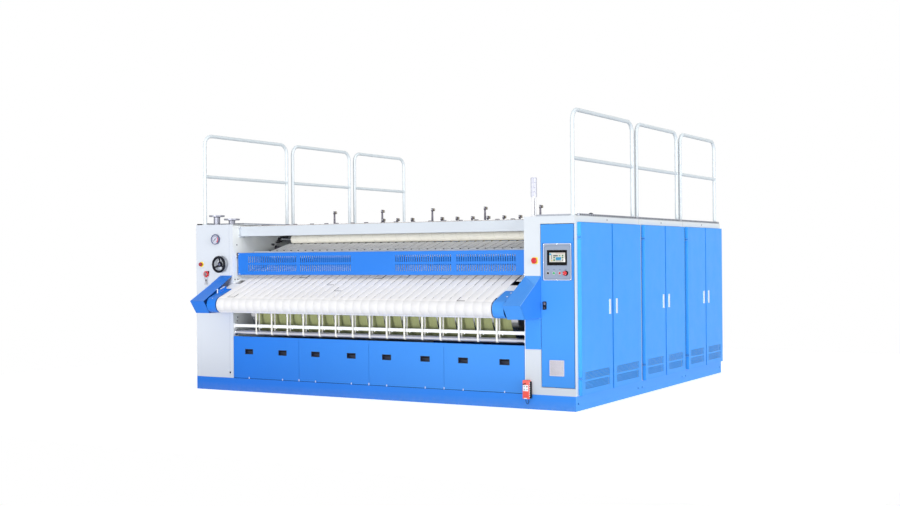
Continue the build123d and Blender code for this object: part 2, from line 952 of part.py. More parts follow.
# ---------------------------------------------------------------- cross beams and guide bars
guide_bar_z = roll_axis_height + guide_bar_rise
with BuildPart() as cross_bars:
    for direction in (1, -1):
        near = direction * beam_front_y
        far = direction * (beam_front_y + beam_depth)
        block((-inner_x, inner_x), (near, far), (beam_bottom_z, beam_top_z))
        block(
            (-inner_x - 1, inner_x + 1),
            (near + direction * sheet, far - direction * sheet),
            (beam_bottom_z + sheet, beam_top_z - sheet),
            mode=Mode.SUBTRACT,
        )
        for side in SIDES.values():
            block(
                (side * inner_x, side * (inner_x - beam_flange)),
                (near - direction * beam_flange_margin, far),
                (beam_bottom_z - beam_flange_margin / 2, beam_top_z),
            )
    block(
        (-inner_x, inner_x),
        (guard_bar_y - guard_bar_size / 2, guard_bar_y + guard_bar_size / 2),
        (guard_bar_z - guard_bar_size / 2, guard_bar_z + guard_bar_size / 2),
    )
    block(
        (-inner_x, inner_x),
        (tape_roller_y - tape_bar_size / 2, tape_roller_y + tape_bar_size / 2),
        (tape_bar_z - tape_bar_size / 2, tape_bar_z + tape_bar_size / 2),
    )
    rod_x(tape_roller_y, tape_top_z, tape_roller_radius, (-inner_x, inner_x))
    rod_x(upper_nose_y, upper_nose_z, upper_nose_radius, (-inner_x, inner_x))
    for n in range(roll_count - 1):
        rod_x(
            (roll_ys[n] + roll_ys[n + 1]) / 2,
            guide_bar_z,
            guide_bar_radius,
            (-inner_x, inner_x),
        )
cross_bars.part.label = "cross_bars"
export_step(cross_bars.part, "parts/cross_bars.step")

# ---------------------------------------------------------------- roof plates and walkway gratings
with BuildPart() as roof_plates:
    for n in range(3):
        y0 = max(module_edges[n], beam_front_y) + module_gap
        y1 = min(module_edges[n + 1], -beam_front_y) - module_gap
        block(
            (-inner_x, inner_x),
            (y0, y1),
            (beam_top_z, beam_top_z + roof_thickness),
        )
        for side in SIDES.values():
            past_pipes = n == 0 and side == SIDES["left"]
            front_margin = grating_pipe_margin if past_pipes else grating_margin
            block(
                (side * grating_inner_x, side * (rail_x - rail_foot / 2 - grating_rail_gap)),
                (module_edges[n] + front_margin, module_edges[n + 1] - grating_rail_gap),
                (body_height, body_height + grating_height),
            )
            # an upright strip runs along the outer edge, outside the handrail posts
            strip_front_y = module_edges[n] + (grating_margin if n == 0 else module_gap)
            block(
                (side * toe_strip_inner_x, side * toe_strip_outer_x),
                (strip_front_y, module_edges[n + 1] - module_gap),
                (body_height, body_height + toe_strip_height),
            )
roof_plates.part.label = "roof_plates"
export_step(roof_plates.part, "parts/roof_plates.step")


# ---------------------------------------------------------------- handrails
def tube(start, end):
    """Add one straight handrail tube between two points on its centre line."""
    with BuildLine() as run:
        Line(start, end)
    with BuildSketch(Plane(origin=start, z_dir=run.line % 0)) as section:
        Circle(rail_tube)
        Circle(rail_tube - rail_wall, mode=Mode.SUBTRACT)
    extrude(section.sketch, amount=math.dist(start, end))


def elbow(x, y_post, direction):
    """Add one bend between an upright post and the top rail."""
    centre_y = y_post + direction * rail_corner
    centre_z = rail_top_z - rail_tube - rail_corner
    with BuildSketch(Plane(origin=(x, centre_y, centre_z), z_dir=(0, 0, 1))) as section:
        with Locations((0, -direction * rail_corner)):
            Circle(rail_tube)
            Circle(rail_tube - rail_wall, mode=Mode.SUBTRACT)
    bend_axis = Axis((x, centre_y, centre_z), (-direction, 0, 0))
    revolve(section.sketch, axis=bend_axis, revolution_arc=90)


with BuildPart() as handrails:
    for side in SIDES.values():
        for n in range(3):
            x = side * rail_x
            y0 = module_edges[n] + rail_front_inset
            y1 = module_edges[n + 1] - rail_rear_inset
            straight_top = rail_top_z - rail_tube - rail_corner - seam
            for y, direction in ((y0, 1), (y1, -1)):
                tube((x, y, body_height + rail_foot_thickness), (x, y, straight_top))
                elbow(x, y, direction)
                block(
                    (x - rail_foot / 2, x + rail_foot / 2),
                    (y - rail_rear_inset + seam, y + rail_rear_inset - seam),
                    (body_height, body_height + rail_foot_thickness - seam / 2),
                )
            for z, inset in (
                (rail_top_z - rail_tube, rail_corner + seam),
                (rail_middle_z, rail_tube + seam),
            ):
                tube((x, y0 + inset, z), (x, y1 - inset, z))
handrails.part.label = "handrails"
export_step(handrails.part, "parts/handrails.step")

# ---------------------------------------------------------------- steam pipes with their valve
with BuildPart() as steam_pipes:
    for x, top in ((inlet_x, inlet_top_z), (outlet_x, outlet_top_z)):
        rod_z(x, pipe_y, pipe_radius, (pipe_end_z, top))
        rod_z(x, pipe_y, flange_radius, (top - flange_thickness, top))
        with Locations((x, pipe_y, top - flange_thickness / 2)):
            with PolarLocations(flange_pcd / 2, flange_holes, start_angle=45):
                Cylinder(flange_hole_radius, 2 * flange_thickness, mode=Mode.SUBTRACT)
        rod_z(x, pipe_y, pipe_bore, (pipe_end_z - 1, top + 1), mode=Mode.SUBTRACT)
    block(
        (inlet_x - pipe_radius, outlet_x + valve_size / 2),
        (pipe_y - valve_size / 2, pipe_y + valve_size / 2),
        (wheel_z - valve_size / 2, pipe_end_z),
    )
    rod_y(
        wheel_x,
        wheel_z,
        wheel_stem_radius + running_clearance,
        (pipe_y - valve_size / 2 - 1, pipe_y),
        mode=Mode.SUBTRACT,
    )
steam_pipes.part.label = "steam_pipes"
export_step(steam_pipes.part, "parts/steam_pipes.step")

# ---------------------------------------------------------------- signal tower
with BuildPart() as signal_tower:
    rod_z(tower_x, tower_y, tower_foot_radius, (body_height, body_height + tower_foot_height))
    rod_z(tower_x, tower_y, tower_pole_radius, (body_height, body_height + tower_pole_height))
    lens_z = body_height + tower_pole_height + seam
    rod_z(tower_x, tower_y, lens_radius, (lens_z, lens_z + lens_height))
    fillet(signal_tower.edges().group_by(Axis.Z)[-1], radius=lens_crown)
signal_tower.part.label = "signal_tower"
export_step(signal_tower.part, "parts/signal_tower.step")

# ---------------------------------------------------------------- belt tension posts on the roof
post_base_z = beam_top_z + roof_thickness
with BuildPart() as tension_posts:
    tall_xs = row_of(tall_post_count, tall_post_pitch)
    short_xs = [
        short_post_first + n * short_post_pitch
        for n in range(short_post_count)
        if n != short_post_left_out
    ]
    for xs, height in ((tall_xs, tall_post_height), (short_xs, short_post_height)):
        for x in xs:
            block(
                (x - post_section / 2, x + post_section / 2),
                (post_row_y - post_section / 2, post_row_y + post_section / 2),
                (post_base_z, post_base_z + height),
            )
            block(
                (x - post_section / 2, x + post_head_length - post_section / 2),
                (post_row_y - post_head_half, post_row_y + post_head_half),
                (post_base_z + height - post_head_height, post_base_z + height),
            )
tension_posts.part.label = "tension_posts"
export_step(tension_posts.part, "parts/tension_posts.step")

# ---------------------------------------------------------------- ironing rolls
roll_reach_x = inner_x + frame_plate + roll_journal_reach
for n, y in enumerate(roll_ys):
    with BuildPart() as roll:
        hollow_roller(
            y,
            roll_axis_height,
            roll_radius,
            roll_wall,
            roll_half_length,
            roll_journal_radius,
            roll_journal_bore,
            roll_reach_x,
            roll_end_plate,
        )
    roll.part.label = f"roll_{n + 1}"
    export_step(roll.part, f"parts/roll_{n + 1}.step")


# ---------------------------------------------------------------- ironing belts
def ironing_wire(roll_r, bar_r):
    """Closed line under every roll, over each guide bar, and back along the roll tops."""
    half = roll_pitch / 2
    distance = math.hypot(half, guide_bar_rise)
    lift = math.degrees(math.atan2(guide_bar_rise, half))
    leave = lift - math.degrees(math.acos((roll_r + bar_r) / distance))
    last = roll_count - 1
    for n, y in enumerate(roll_ys):
        start = 90 if n == 0 else 180 - leave
        end = 450 if n == last else 360 + leave
        arc = CenterArc((y, roll_axis_height), roll_r, start, end - start)
        if n == 0:
            first_point = arc @ 0
        else:
            Line(previous, arc @ 0)
        if n < last:
            bar = CenterArc((y + half, guide_bar_z), bar_r, 180 + leave, -(180 + 2 * leave))
            Line(arc @ 1, bar @ 0)
            previous = bar @ 1
        else:
            Line(arc @ 1, first_point)


inner_roll = roll_radius + belt_running_gap
inner_bar = guide_bar_radius + belt_running_gap
belt_x0 = -wide_belt_width / 2
with BuildPart() as ironing_belt:
    with BuildSketch(Plane.YZ.offset(belt_x0)) as belt_outer:
        with BuildLine():
            ironing_wire(inner_roll + belt_thickness, inner_bar)
        make_face()
    with BuildSketch(Plane.YZ.offset(belt_x0), mode=Mode.PRIVATE) as belt_inner:
        with BuildLine():
            ironing_wire(inner_roll, inner_bar + belt_thickness)
        make_face()
    extrude(amount=wide_belt_width)
    extrude(belt_inner.sketch, amount=wide_belt_width, mode=Mode.SUBTRACT)
with BuildPart() as ironing_belts:
    with Locations(*[(x, 0, 0) for x in row_of(wide_belt_count, wide_belt_pitch)]):
        add(ironing_belt.part)
ironing_belts.part.label = "ironing_belts"
export_step(ironing_belts.part, "parts/ironing_belts.step")

# ---------------------------------------------------------------- feed belts, upper belts, tapes
feed_loop = (
    (nose_y, nose_z, nose_roller_radius + belt_running_gap),
    (feed_rear_y, feed_rear_z, feed_rear_radius + belt_running_gap),
)
with BuildPart() as feed_belt:
    belt_loop(feed_loop, belt_thickness, 0, feed_belt_width)
with BuildPart() as feed_belts:
    with Locations(*[(x, 0, 0) for x in row_of(feed_belt_count, feed_belt_pitch)]):
        add(feed_belt.part)
feed_belts.part.label = "feed_belts"
export_step(feed_belts.part, "parts/feed_belts.step")

upper_loop = (
    (upper_nose_y, upper_nose_z, upper_nose_radius + belt_running_gap),
    (upper_rear_y, upper_rear_z, upper_rear_radius + belt_running_gap),
)
with BuildPart() as upper_belt:
    belt_loop(upper_loop, belt_thickness, 0, upper_belt_width)
with BuildPart() as upper_belts:
    with Locations(*[(x, 0, 0) for x in row_of(upper_belt_count, upper_belt_pitch)]):
        add(upper_belt.part)
upper_belts.part.label = "upper_belts"
export_step(upper_belts.part, "parts/upper_belts.step")

tape_loop = (
    (tape_roller_y, tape_roller_z, tape_roller_radius + belt_running_gap),
    (tape_roller_y, tape_top_z, tape_roller_radius + belt_running_gap),
)
with BuildPart() as return_tape:
    belt_loop(tape_loop, tape_thickness, 0, tape_width)
with BuildPart() as return_tapes:
    with Locations(*[(x, 0, 0) for x in row_of(wide_belt_count, wide_belt_pitch)]):
        add(return_tape.part)
return_tapes.part.label = "return_tapes"
export_step(return_tapes.part, "parts/return_tapes.step")

# ---------------------------------------------------------------- rollers of the belts
feed_half_width = (feed_belt_count - 1) / 2 * feed_belt_pitch + feed_belt_width / 2
upper_half_width = (upper_belt_count - 1) / 2 * upper_belt_pitch + upper_belt_width / 2
small_reach_x = inner_x + frame_plate + bearing_thickness
nose_cover_inner_x = feed_half_width + nose_cover_side_gap
nose_reach_x = nose_cover_inner_x + nose_bearing_plate + 2 * wall_clearance

with BuildPart() as nose_roller:
    hollow_roller(
        nose_y, nose_z, nose_roller_radius, small_journal_wall, feed_half_width,
        small_journal_radius, small_journal_radius / 2, nose_reach_x, roll_end_plate,
    )
nose_roller.part.label = "nose_roller"
export_step(nose_roller.part, "parts/nose_roller.step")

with BuildPart() as feed_rear_roller:
    hollow_roller(
        feed_rear_y, feed_rear_z, feed_rear_radius, small_journal_wall, feed_half_width,
        small_journal_radius, small_journal_radius / 2, small_reach_x, roll_end_plate,
    )
feed_rear_roller.part.label = "feed_rear_roller"
export_step(feed_rear_roller.part, "parts/feed_rear_roller.step")

with BuildPart() as upper_drive_roller:
    hollow_roller(
        upper_rear_y, upper_rear_z, upper_rear_radius, small_journal_wall, upper_half_width,
        small_journal_radius, small_journal_radius / 2, small_reach_x, roll_end_plate,
    )
upper_drive_roller.part.label = "upper_drive_roller"
export_step(upper_drive_roller.part, "parts/upper_drive_roller.step")

with BuildPart() as pressure_roller:
    hollow_roller(
        pressure_y, pressure_z, pressure_radius, felt_thickness, pressure_half_length,
        small_journal_radius, small_journal_radius / 2, small_reach_x, roll_end_plate,
    )
pressure_roller.part.label = "pressure_roller"
export_step(pressure_roller.part, "parts/pressure_roller.step")

with BuildPart() as tape_roller:
    hollow_roller(
        tape_roller_y, tape_roller_z, tape_roller_radius, small_journal_wall / 2,
        tape_roller_half_length, small_journal_radius, small_journal_radius / 2,
        small_reach_x, roll_end_plate,
    )
tape_roller.part.label = "tape_roller"
export_step(tape_roller.part, "parts/tape_roller.step")

# ---------------------------------------------------------------- bearings and gearmotors
with BuildPart() as roll_bearings:
    for side in SIDES.values():
        face = side * (inner_x + frame_plate)
        for y, z, radius in journals:
            half = radius + bearing_margin * radius / roll_journal_radius
            block(
                (face, face + side * bearing_thickness),
                (y - half, y + half),
                (z - half, z + half),
            )
            rod_x(
                y,
                z,
                radius + running_clearance,
                (face - side, face + side * (bearing_thickness + 1)),
                mode=Mode.SUBTRACT,
            )
roll_bearings.part.label = "roll_bearings"
export_step(roll_bearings.part, "parts/roll_bearings.step")

with BuildPart() as gearmotors:
    near = -(inner_x + frame_plate + bearing_thickness + gearbox_gap)
    far = near - gearbox_thickness
    for y in roll_ys[::2]:
        block(
            (far, near),
            (y - gearbox_size / 2, y + gearbox_size / 2),
            (roll_axis_height - gearbox_size, roll_axis_height + gearbox_size / 2),
        )
        block(
            (near, -(inner_x + frame_plate)),
            (y - motor_radius, y + motor_radius),
            (roll_axis_height - gearbox_size, roll_axis_height - gearbox_size + motor_radius / 2),
        )
        rod_y(
            (near + far) / 2 - motor_radius / 2,
            roll_axis_height - gearbox_size / 2 - motor_radius / 2,
            motor_radius,
            (y + gearbox_size / 2, y + gearbox_size / 2 + motor_length),
        )
        rod_x(
            y,
            roll_axis_height,
            roll_journal_radius + running_clearance,
            (far - 1, near + 1),
            mode=Mode.SUBTRACT,
        )
gearmotors.part.label = "gearmotors"
export_step(gearmotors.part, "parts/gearmotors.step")

# ---------------------------------------------------------------- feed bed and its side arms
# A slider plate under the belts' upper run, carried by two sloping arms.
bed_drop = (belt_thickness + 2 * belt_running_gap) / math.cos(slope)
bed_front_y = nose_y + nose_roller_radius / 2
bed_back_y = feed_rear_y - feed_rear_radius
arm_inner_x = feed_half_width + feed_arm_side_gap
arm_outer_x = inner_x


def sloped_slab(y0, y1, drop, height, x_span, mode=Mode.ADD):
    """Add a slab that follows the belt line, a given drop below it."""
    side_profile(
        (
            (y0, feed_line(y0) - drop),
            (y1, feed_line(y1) - drop),
            (y1, feed_line(y1) - drop - height),
            (y0, feed_line(y0) - drop - height),
        ),
        x_span,
        mode,
    )


with BuildPart() as feed_bed:
    sloped_slab(bed_front_y, bed_back_y, bed_drop, bed_thickness, (-arm_inner_x, arm_inner_x))
    for side in SIDES.values():
        sloped_slab(
            nose_cover_back_y,
            bed_back_y,
            feed_arm_drop,
            feed_arm_height,
            (side * arm_inner_x, side * arm_outer_x),
        )
feed_bed.part.label = "feed_bed"
export_step(feed_bed.part, "parts/feed_bed.step")

# ---------------------------------------------------------------- feed side covers
# Folded sheet: top, tip, bottom and outer side, open towards the belts.
with BuildPart() as feed_wings:
    for side in SIDES.values():
        near = side * (inner_x + wing_offset)
        far = side * (inner_x + wing_offset + wing_width)
        wing_points = (
            (front_y, wing_top_z),
            (wing_tip_y, wing_tip_z),
            (wing_heel_y, wing_bottom_z),
            (front_y, wing_bottom_z),
        )
        side_profile(wing_points, (near, far))
        inner_points = (
            (front_y + 1, wing_top_z - 2 * cover_sheet),
            (wing_tip_y + 2 * cover_sheet, wing_tip_z),
            (wing_heel_y + cover_sheet, wing_bottom_z + cover_sheet),
            (front_y + 1, wing_bottom_z + cover_sheet),
        )
        side_profile(
            inner_points,
            (near - side, far - side * cover_sheet),
            mode=Mode.SUBTRACT,
        )
    block(
        (inner_x + wing_offset, inner_x + wing_offset + wing_width),
        (front_y - lower_cover_depth, front_y),
        (lower_cover_bottom_z, wing_bottom_z - 2 * seam),
    )
feed_wings.part.label = "feed_wings"
export_step(feed_wings.part, "parts/feed_wings.step")

switch_box_y = nose_cover_back_y - feed_switch_length
with BuildPart() as nose_covers:
    for side in SIDES.values():
        inner = side * nose_cover_inner_x
        outer = side * arm_outer_x
        cover_bottom = nose_z - feed_outer
        for inset, mode in ((0, Mode.ADD), (cover_sheet, Mode.SUBTRACT)):
            span = (inner, outer)
            if inset > 0:
                span = (inner + side * nose_bearing_plate, outer + side)
            with BuildSketch(Plane.YZ.offset(min(span))) as cover_section:
                with BuildLine():
                    nose_arc = CenterArc(
                        (nose_y, nose_z), feed_outer - inset, 90 + feed_slope, 180 - feed_slope
                    )
                    Polyline(
                        nose_arc @ 1,
                        (nose_cover_back_y + inset, cover_bottom + inset),
                        (
                            nose_cover_back_y + inset,
                            feed_line(nose_cover_back_y + inset) - inset / math.cos(slope),
                        ),
                        nose_arc @ 0,
                    )
                make_face()
            extrude(cover_section.sketch, amount=abs(span[1] - span[0]), mode=mode)
        rod_x(
            nose_y,
            nose_z,
            small_journal_radius + running_clearance,
            (inner - side, inner + side * (nose_bearing_plate + 1)),
            mode=Mode.SUBTRACT,
        )
    # the left cover carries a small sloping switch box
    box_span = (-arm_outer_x, -arm_outer_x + 2 * feed_switch_height)
    sloped_slab(switch_box_y, nose_cover_back_y, -feed_switch_height, feed_switch_height, box_span)
    key_x = sum(box_span) / 2
    key_ys = [switch_box_y + feed_switch_length * place for place in feed_key_places]
    for y in key_ys:
        key_top = (key_x, y, feed_line(y) + feed_switch_height)
        with Locations(Plane(key_top, x_dir=(1, 0, 0), z_dir=(0, *feed_normal))):
            Box(
                feed_key_width + 2 * key_clearance,
                feed_key_length + 2 * key_clearance,
                2 * (feed_switch_height - cover_sheet),
                mode=Mode.SUBTRACT,
            )
nose_covers.part.label = "nose_covers"
export_step(nose_covers.part, "parts/nose_covers.step")

for n, y in enumerate(key_ys):
    key_plane = Plane(
        (key_x, y, feed_line(y) + feed_switch_height),
        x_dir=(1, 0, 0),
        z_dir=(0, *feed_normal),
    )
    with BuildPart() as feed_key:
        with BuildSketch(key_plane.offset(-feed_switch_height / 2)):
            Rectangle(feed_key_width, feed_key_length)
        extrude(amount=feed_switch_height / 2 + feed_key_travel + 1)
    feed_key.part.label = f"feed_key_{n + 1}"
    export_step(feed_key.part, f"parts/feed_key_{n + 1}.step")

lever_y = switch_box_y - 2 * feed_lever_radius
lever_base_z = feed_line(lever_y)
lever_foot_z = lever_base_z + feed_lever_lift
with BuildPart() as feed_lever:
    rod_x(
        lever_y,
        lever_foot_z,
        feed_lever_pivot_radius,
        (key_x - feed_lever_pivot_length / 2, key_x + feed_lever_pivot_length / 2),
    )
    rod_z(key_x, lever_y, feed_lever_radius / 2, (lever_foot_z, lever_base_z + feed_lever_length))
    with Locations((key_x, lever_y, lever_base_z + feed_lever_length)):
        Sphere(feed_lever_radius)
feed_lever.part.label = "feed_lever"
export_step(feed_lever.part, "parts/feed_lever.step")

# ---------------------------------------------------------------- finger guard
# A folded plate hung on two stub pivots at its top corners.
with BuildPart() as finger_guard:
    block(
        (-guard_half_length, guard_half_length),
        (guard_front_y, guard_front_y + guard_sheet),
        (guard_bottom_z, guard_top_z),
    )
    for low in (guard_bottom_z, guard_top_z - guard_sheet):
        block(
            (-guard_half_length, guard_half_length),
            (guard_front_y, guard_front_y + guard_return),
            (low, low + guard_sheet),
        )
    for side in SIDES.values():
        block(
            (side * (guard_half_length - guard_sheet), side * guard_half_length),
            (guard_front_y, guard_front_y + guard_return),
            (guard_bottom_z, guard_top_z),
        )
        rod_x(
            guard_pivot_y,
            guard_pivot_z,
            guard_pivot_radius,
            (side * (guard_half_length - guard_sheet), side * (inner_x + frame_plate)),
        )
    slots = [
        (start + k * slot_pitch, (low + high) / 2)
        for start in slot_group_starts
        for k in range(slot_count)
        for low, high in slot_rows
    ]
    row_height = slot_rows[0][1] - slot_rows[0][0]
    with BuildSketch(Plane.XZ.offset(-guard_front_y - guard_sheet)):
        with Locations(*slots):
            Rectangle(slot_width, row_height)
    extrude(amount=guard_sheet, mode=Mode.SUBTRACT)
finger_guard.part.label = "finger_guard"
export_step(finger_guard.part, "parts/finger_guard.step")

# ---------------------------------------------------------------- control door
control_back_y = control_front_y + control_door_depth
pocket_floor_y = control_front_y + pocket_depth
control_xs = [control_row_start + n * control_row_pitch for n in range(4)]
with BuildPart() as control_door:
    block(
        (control_door_left, control_door_right),
        (control_front_y, control_back_y),
        (control_door_bottom, control_door_top),
    )
    block(
        (control_door_left + door_skin, control_door_right - door_skin),
        (control_front_y + door_skin, control_back_y + 1),
        (control_door_bottom + door_skin, control_door_top - door_skin),
        mode=Mode.SUBTRACT,
    )
    # a pocket in the door holds the operator panel
    block(
        (pocket_left, pocket_right),
        (control_front_y, pocket_floor_y + door_skin),
        (pocket_bottom, pocket_top),
    )
    block(
        (pocket_left + door_skin, pocket_right - door_skin),
        (control_front_y - 1, pocket_floor_y),
        (pocket_bottom + door_skin, pocket_top - door_skin),
        mode=Mode.SUBTRACT,
    )
    block(
        (panel_left + panel_box_margin - seam, panel_right - panel_box_margin + seam),
        (pocket_floor_y - 1, pocket_floor_y + door_skin + 1),
        (panel_bottom + panel_box_margin - seam, panel_top - panel_box_margin + seam),
        mode=Mode.SUBTRACT,
    )
    rod_y(
        latch_x,
        latch_z,
        latch_shaft_radius + running_clearance,
        (control_front_y - 1, control_front_y + door_skin + 1),
        mode=Mode.SUBTRACT,
    )
    for z in control_hinge_heights:
        block(
            (control_door_right - door_skin, control_door_right + 1),
            (control_front_y + door_skin, control_back_y + 1),
            (z - hinge_gap, z + hinge_arm_height + hinge_gap),
            mode=Mode.SUBTRACT,
        )
        block(
            (control_hinge_x - hinge_arm_half, control_door_right),
            (control_front_y + door_skin / 2, control_hinge_y + hinge_arm_half),
            (z + hinge_arm_height + hinge_gap, z + hinge_arm_height + hinge_lug_height),
        )
        rod_z(
            control_hinge_x,
            control_hinge_y,
            hinge_pin_radius + running_clearance,
            (z + hinge_arm_height, z + hinge_arm_height + hinge_lug_height + 1),
            mode=Mode.SUBTRACT,
        )
    # framed air vent with bars
    vent_half = vent_size / 2
    block(
        (vent_x - vent_half, vent_x + vent_half),
        (control_front_y - vent_depth, control_front_y),
        (vent_z - vent_half, vent_z + vent_half),
    )
    for z in row_of(vent_bars, vent_size / (vent_bars + 1)):
        block(
            (vent_x - vent_half + 2 * vent_bar, vent_x + vent_half - 2 * vent_bar),
            (control_front_y - vent_depth - 1, control_front_y + door_skin + 1),
            (vent_z + z - vent_bar / 2, vent_z + z + vent_bar / 2),
            mode=Mode.SUBTRACT,
        )
control_door.part.label = "control_door"
export_step(control_door.part, "parts/control_door.step")

# ---------------------------------------------------------------- operator panel
panel_back_y = pocket_floor_y - seam
panel_front_y = panel_back_y - panel_plate
stop_x = control_xs[3]
with BuildPart() as operator_panel:
    block((panel_left, panel_right), (panel_front_y, panel_back_y), (panel_bottom, panel_top))
    fillet(operator_panel.edges().filter_by(Axis.Y), radius=panel_plate)
    box_x = (panel_left + panel_box_margin, panel_right - panel_box_margin)
    box_z = (panel_bottom + panel_box_margin, panel_top - panel_box_margin)
    block(box_x, (panel_back_y, panel_back_y + panel_box_depth), box_z)
    block(
        (box_x[0] + panel_box_wall, box_x[1] - panel_box_wall),
        (panel_back_y, panel_back_y + panel_box_depth - panel_box_wall),
        (box_z[0] + panel_box_wall, box_z[1] - panel_box_wall),
        mode=Mode.SUBTRACT,
    )
    block(
        (
            screen_x - screen_width / 2 + screen_body_margin,
            screen_x + screen_width / 2 - screen_body_margin,
        ),
        (panel_front_y - 1, panel_back_y + 1),
        (
            screen_z - screen_height / 2 + screen_body_margin,
            screen_z + screen_height / 2 - screen_body_margin,
        ),
        mode=Mode.SUBTRACT,
    )
    for x in control_xs[:3]:
        rod_y(x, control_row_z, key_ring_radius, (panel_front_y - key_ring_height, panel_front_y))
        rod_y(
            x,
            control_row_z,
            key_cap_radius + key_clearance,
            (panel_front_y - key_ring_height - 1, panel_front_y),
            mode=Mode.SUBTRACT,
        )
        rod_y(
            x,
            control_row_z,
            key_stem_radius + key_clearance,
            (panel_front_y - 1, panel_back_y + 1),
            mode=Mode.SUBTRACT,
        )
    stop_base_y = panel_front_y - panel_stop_base_height
    rod_y(stop_x, control_row_z, panel_stop_base_radius, (stop_base_y, panel_front_y))
    rod_y(
        stop_x,
        control_row_z,
        stop_neck_radius + key_clearance,
        (stop_base_y - 1, panel_back_y + 1),
        mode=Mode.SUBTRACT,
    )
operator_panel.part.label = "operator_panel"
export_step(operator_panel.part, "parts/operator_panel.step")

with BuildPart() as touch_screen:
    block(
        (screen_x - screen_width / 2, screen_x + screen_width / 2),
        (panel_front_y - screen_proud, panel_front_y),
        (screen_z - screen_height / 2, screen_z + screen_height / 2),
    )
    block(
        (
            screen_x - screen_width / 2 + screen_body_margin,
            screen_x + screen_width / 2 - screen_body_margin,
        ),
        (panel_front_y, panel_front_y + screen_body_depth),
        (
            screen_z - screen_height / 2 + screen_body_margin,
            screen_z + screen_height / 2 - screen_body_margin,
        ),
    )
touch_screen.part.label = "touch_screen"
export_step(touch_screen.part, "parts/touch_screen.step")

# ---------------------------------------------------------------- keys, selector and stops
cap_front_y = panel_front_y - key_cap_height
for x, key_name in ((control_xs[1], "start_key"), (control_xs[2], "stop_key")):
    with BuildPart() as key:
        rod_y(x, control_row_z, key_cap_radius, (cap_front_y, panel_front_y - key_ring_height))
        rod_y(x, control_row_z, key_stem_radius, (cap_front_y + 1, panel_back_y + key_stem_length))
    key.part.label = key_name
    export_step(key.part, f"parts/{key_name}.step")

with BuildPart() as mode_selector:
    rod_y(
        control_xs[0],
        control_row_z,
        key_cap_radius,
        (cap_front_y, panel_front_y - key_clearance),
    )
    block(
        (control_xs[0] - key_stem_radius / 2, control_xs[0] + key_stem_radius / 2),
        (cap_front_y - key_cap_height, cap_front_y),
        (control_row_z - key_cap_radius + 1, control_row_z + key_cap_radius - 1),
    )
    rod_y(
        control_xs[0],
        control_row_z,
        key_stem_radius,
        (cap_front_y + 1, panel_back_y + key_stem_length),
    )
mode_selector.part.label = "mode_selector"
export_step(mode_selector.part, "parts/mode_selector.step")


def mushroom(x, z, face_y, radius, stem_depth):
    """Add an emergency stop: a domed head in front of face_y on a neck that runs through it."""
    head_back = face_y - stop_neck_length
    rod_y(x, z, stop_neck_radius, (head_back, face_y + stem_depth))
    rod_y(x, z, radius, (head_back - stop_head_height, head_back))


with BuildPart() as panel_stop_button:
    mushroom(stop_x, control_row_z, stop_base_y, panel_stop_radius, key_stem_length)
    fillet(panel_stop_button.edges().group_by(Axis.Y)[0], radius=stop_head_round)
panel_stop_button.part.label = "panel_stop_button"
export_step(panel_stop_button.part, "parts/panel_stop_button.step")

plate_face_y = front_y - stop_plate_thickness
with BuildPart() as right_stop_button:
    mushroom(right_stop_x, right_stop_z, plate_face_y, right_stop_radius, key_stem_length)
    fillet(right_stop_button.edges().group_by(Axis.Y)[0], radius=stop_head_round)
right_stop_button.part.label = "right_stop_button"
export_step(right_stop_button.part, "parts/right_stop_button.step")

with BuildPart() as left_stop_button:
    mushroom(left_stop_x, left_stop_z, plate_face_y, left_stop_radius, key_stem_length)
    fillet(left_stop_button.edges().group_by(Axis.Y)[0], radius=stop_head_round)
left_stop_button.part.label = "left_stop_button"
export_step(left_stop_button.part, "parts/left_stop_button.step")

with BuildPart() as door_latch:
    block(
        (latch_x - latch_width / 2, latch_x + latch_width / 2),
        (control_front_y - latch_depth - key_clearance, control_front_y - key_clearance),
        (latch_z - latch_height / 2, latch_z + latch_height / 2),
    )
    fillet(door_latch.edges().filter_by(Axis.Y), radius=latch_depth / 2)
    rod_y(
        latch_x,
        latch_z,
        latch_shaft_radius,
        (control_front_y - latch_depth / 2, control_front_y + latch_shaft_length),
    )
door_latch.part.label = "door_latch"
export_step(door_latch.part, "parts/door_latch.step")

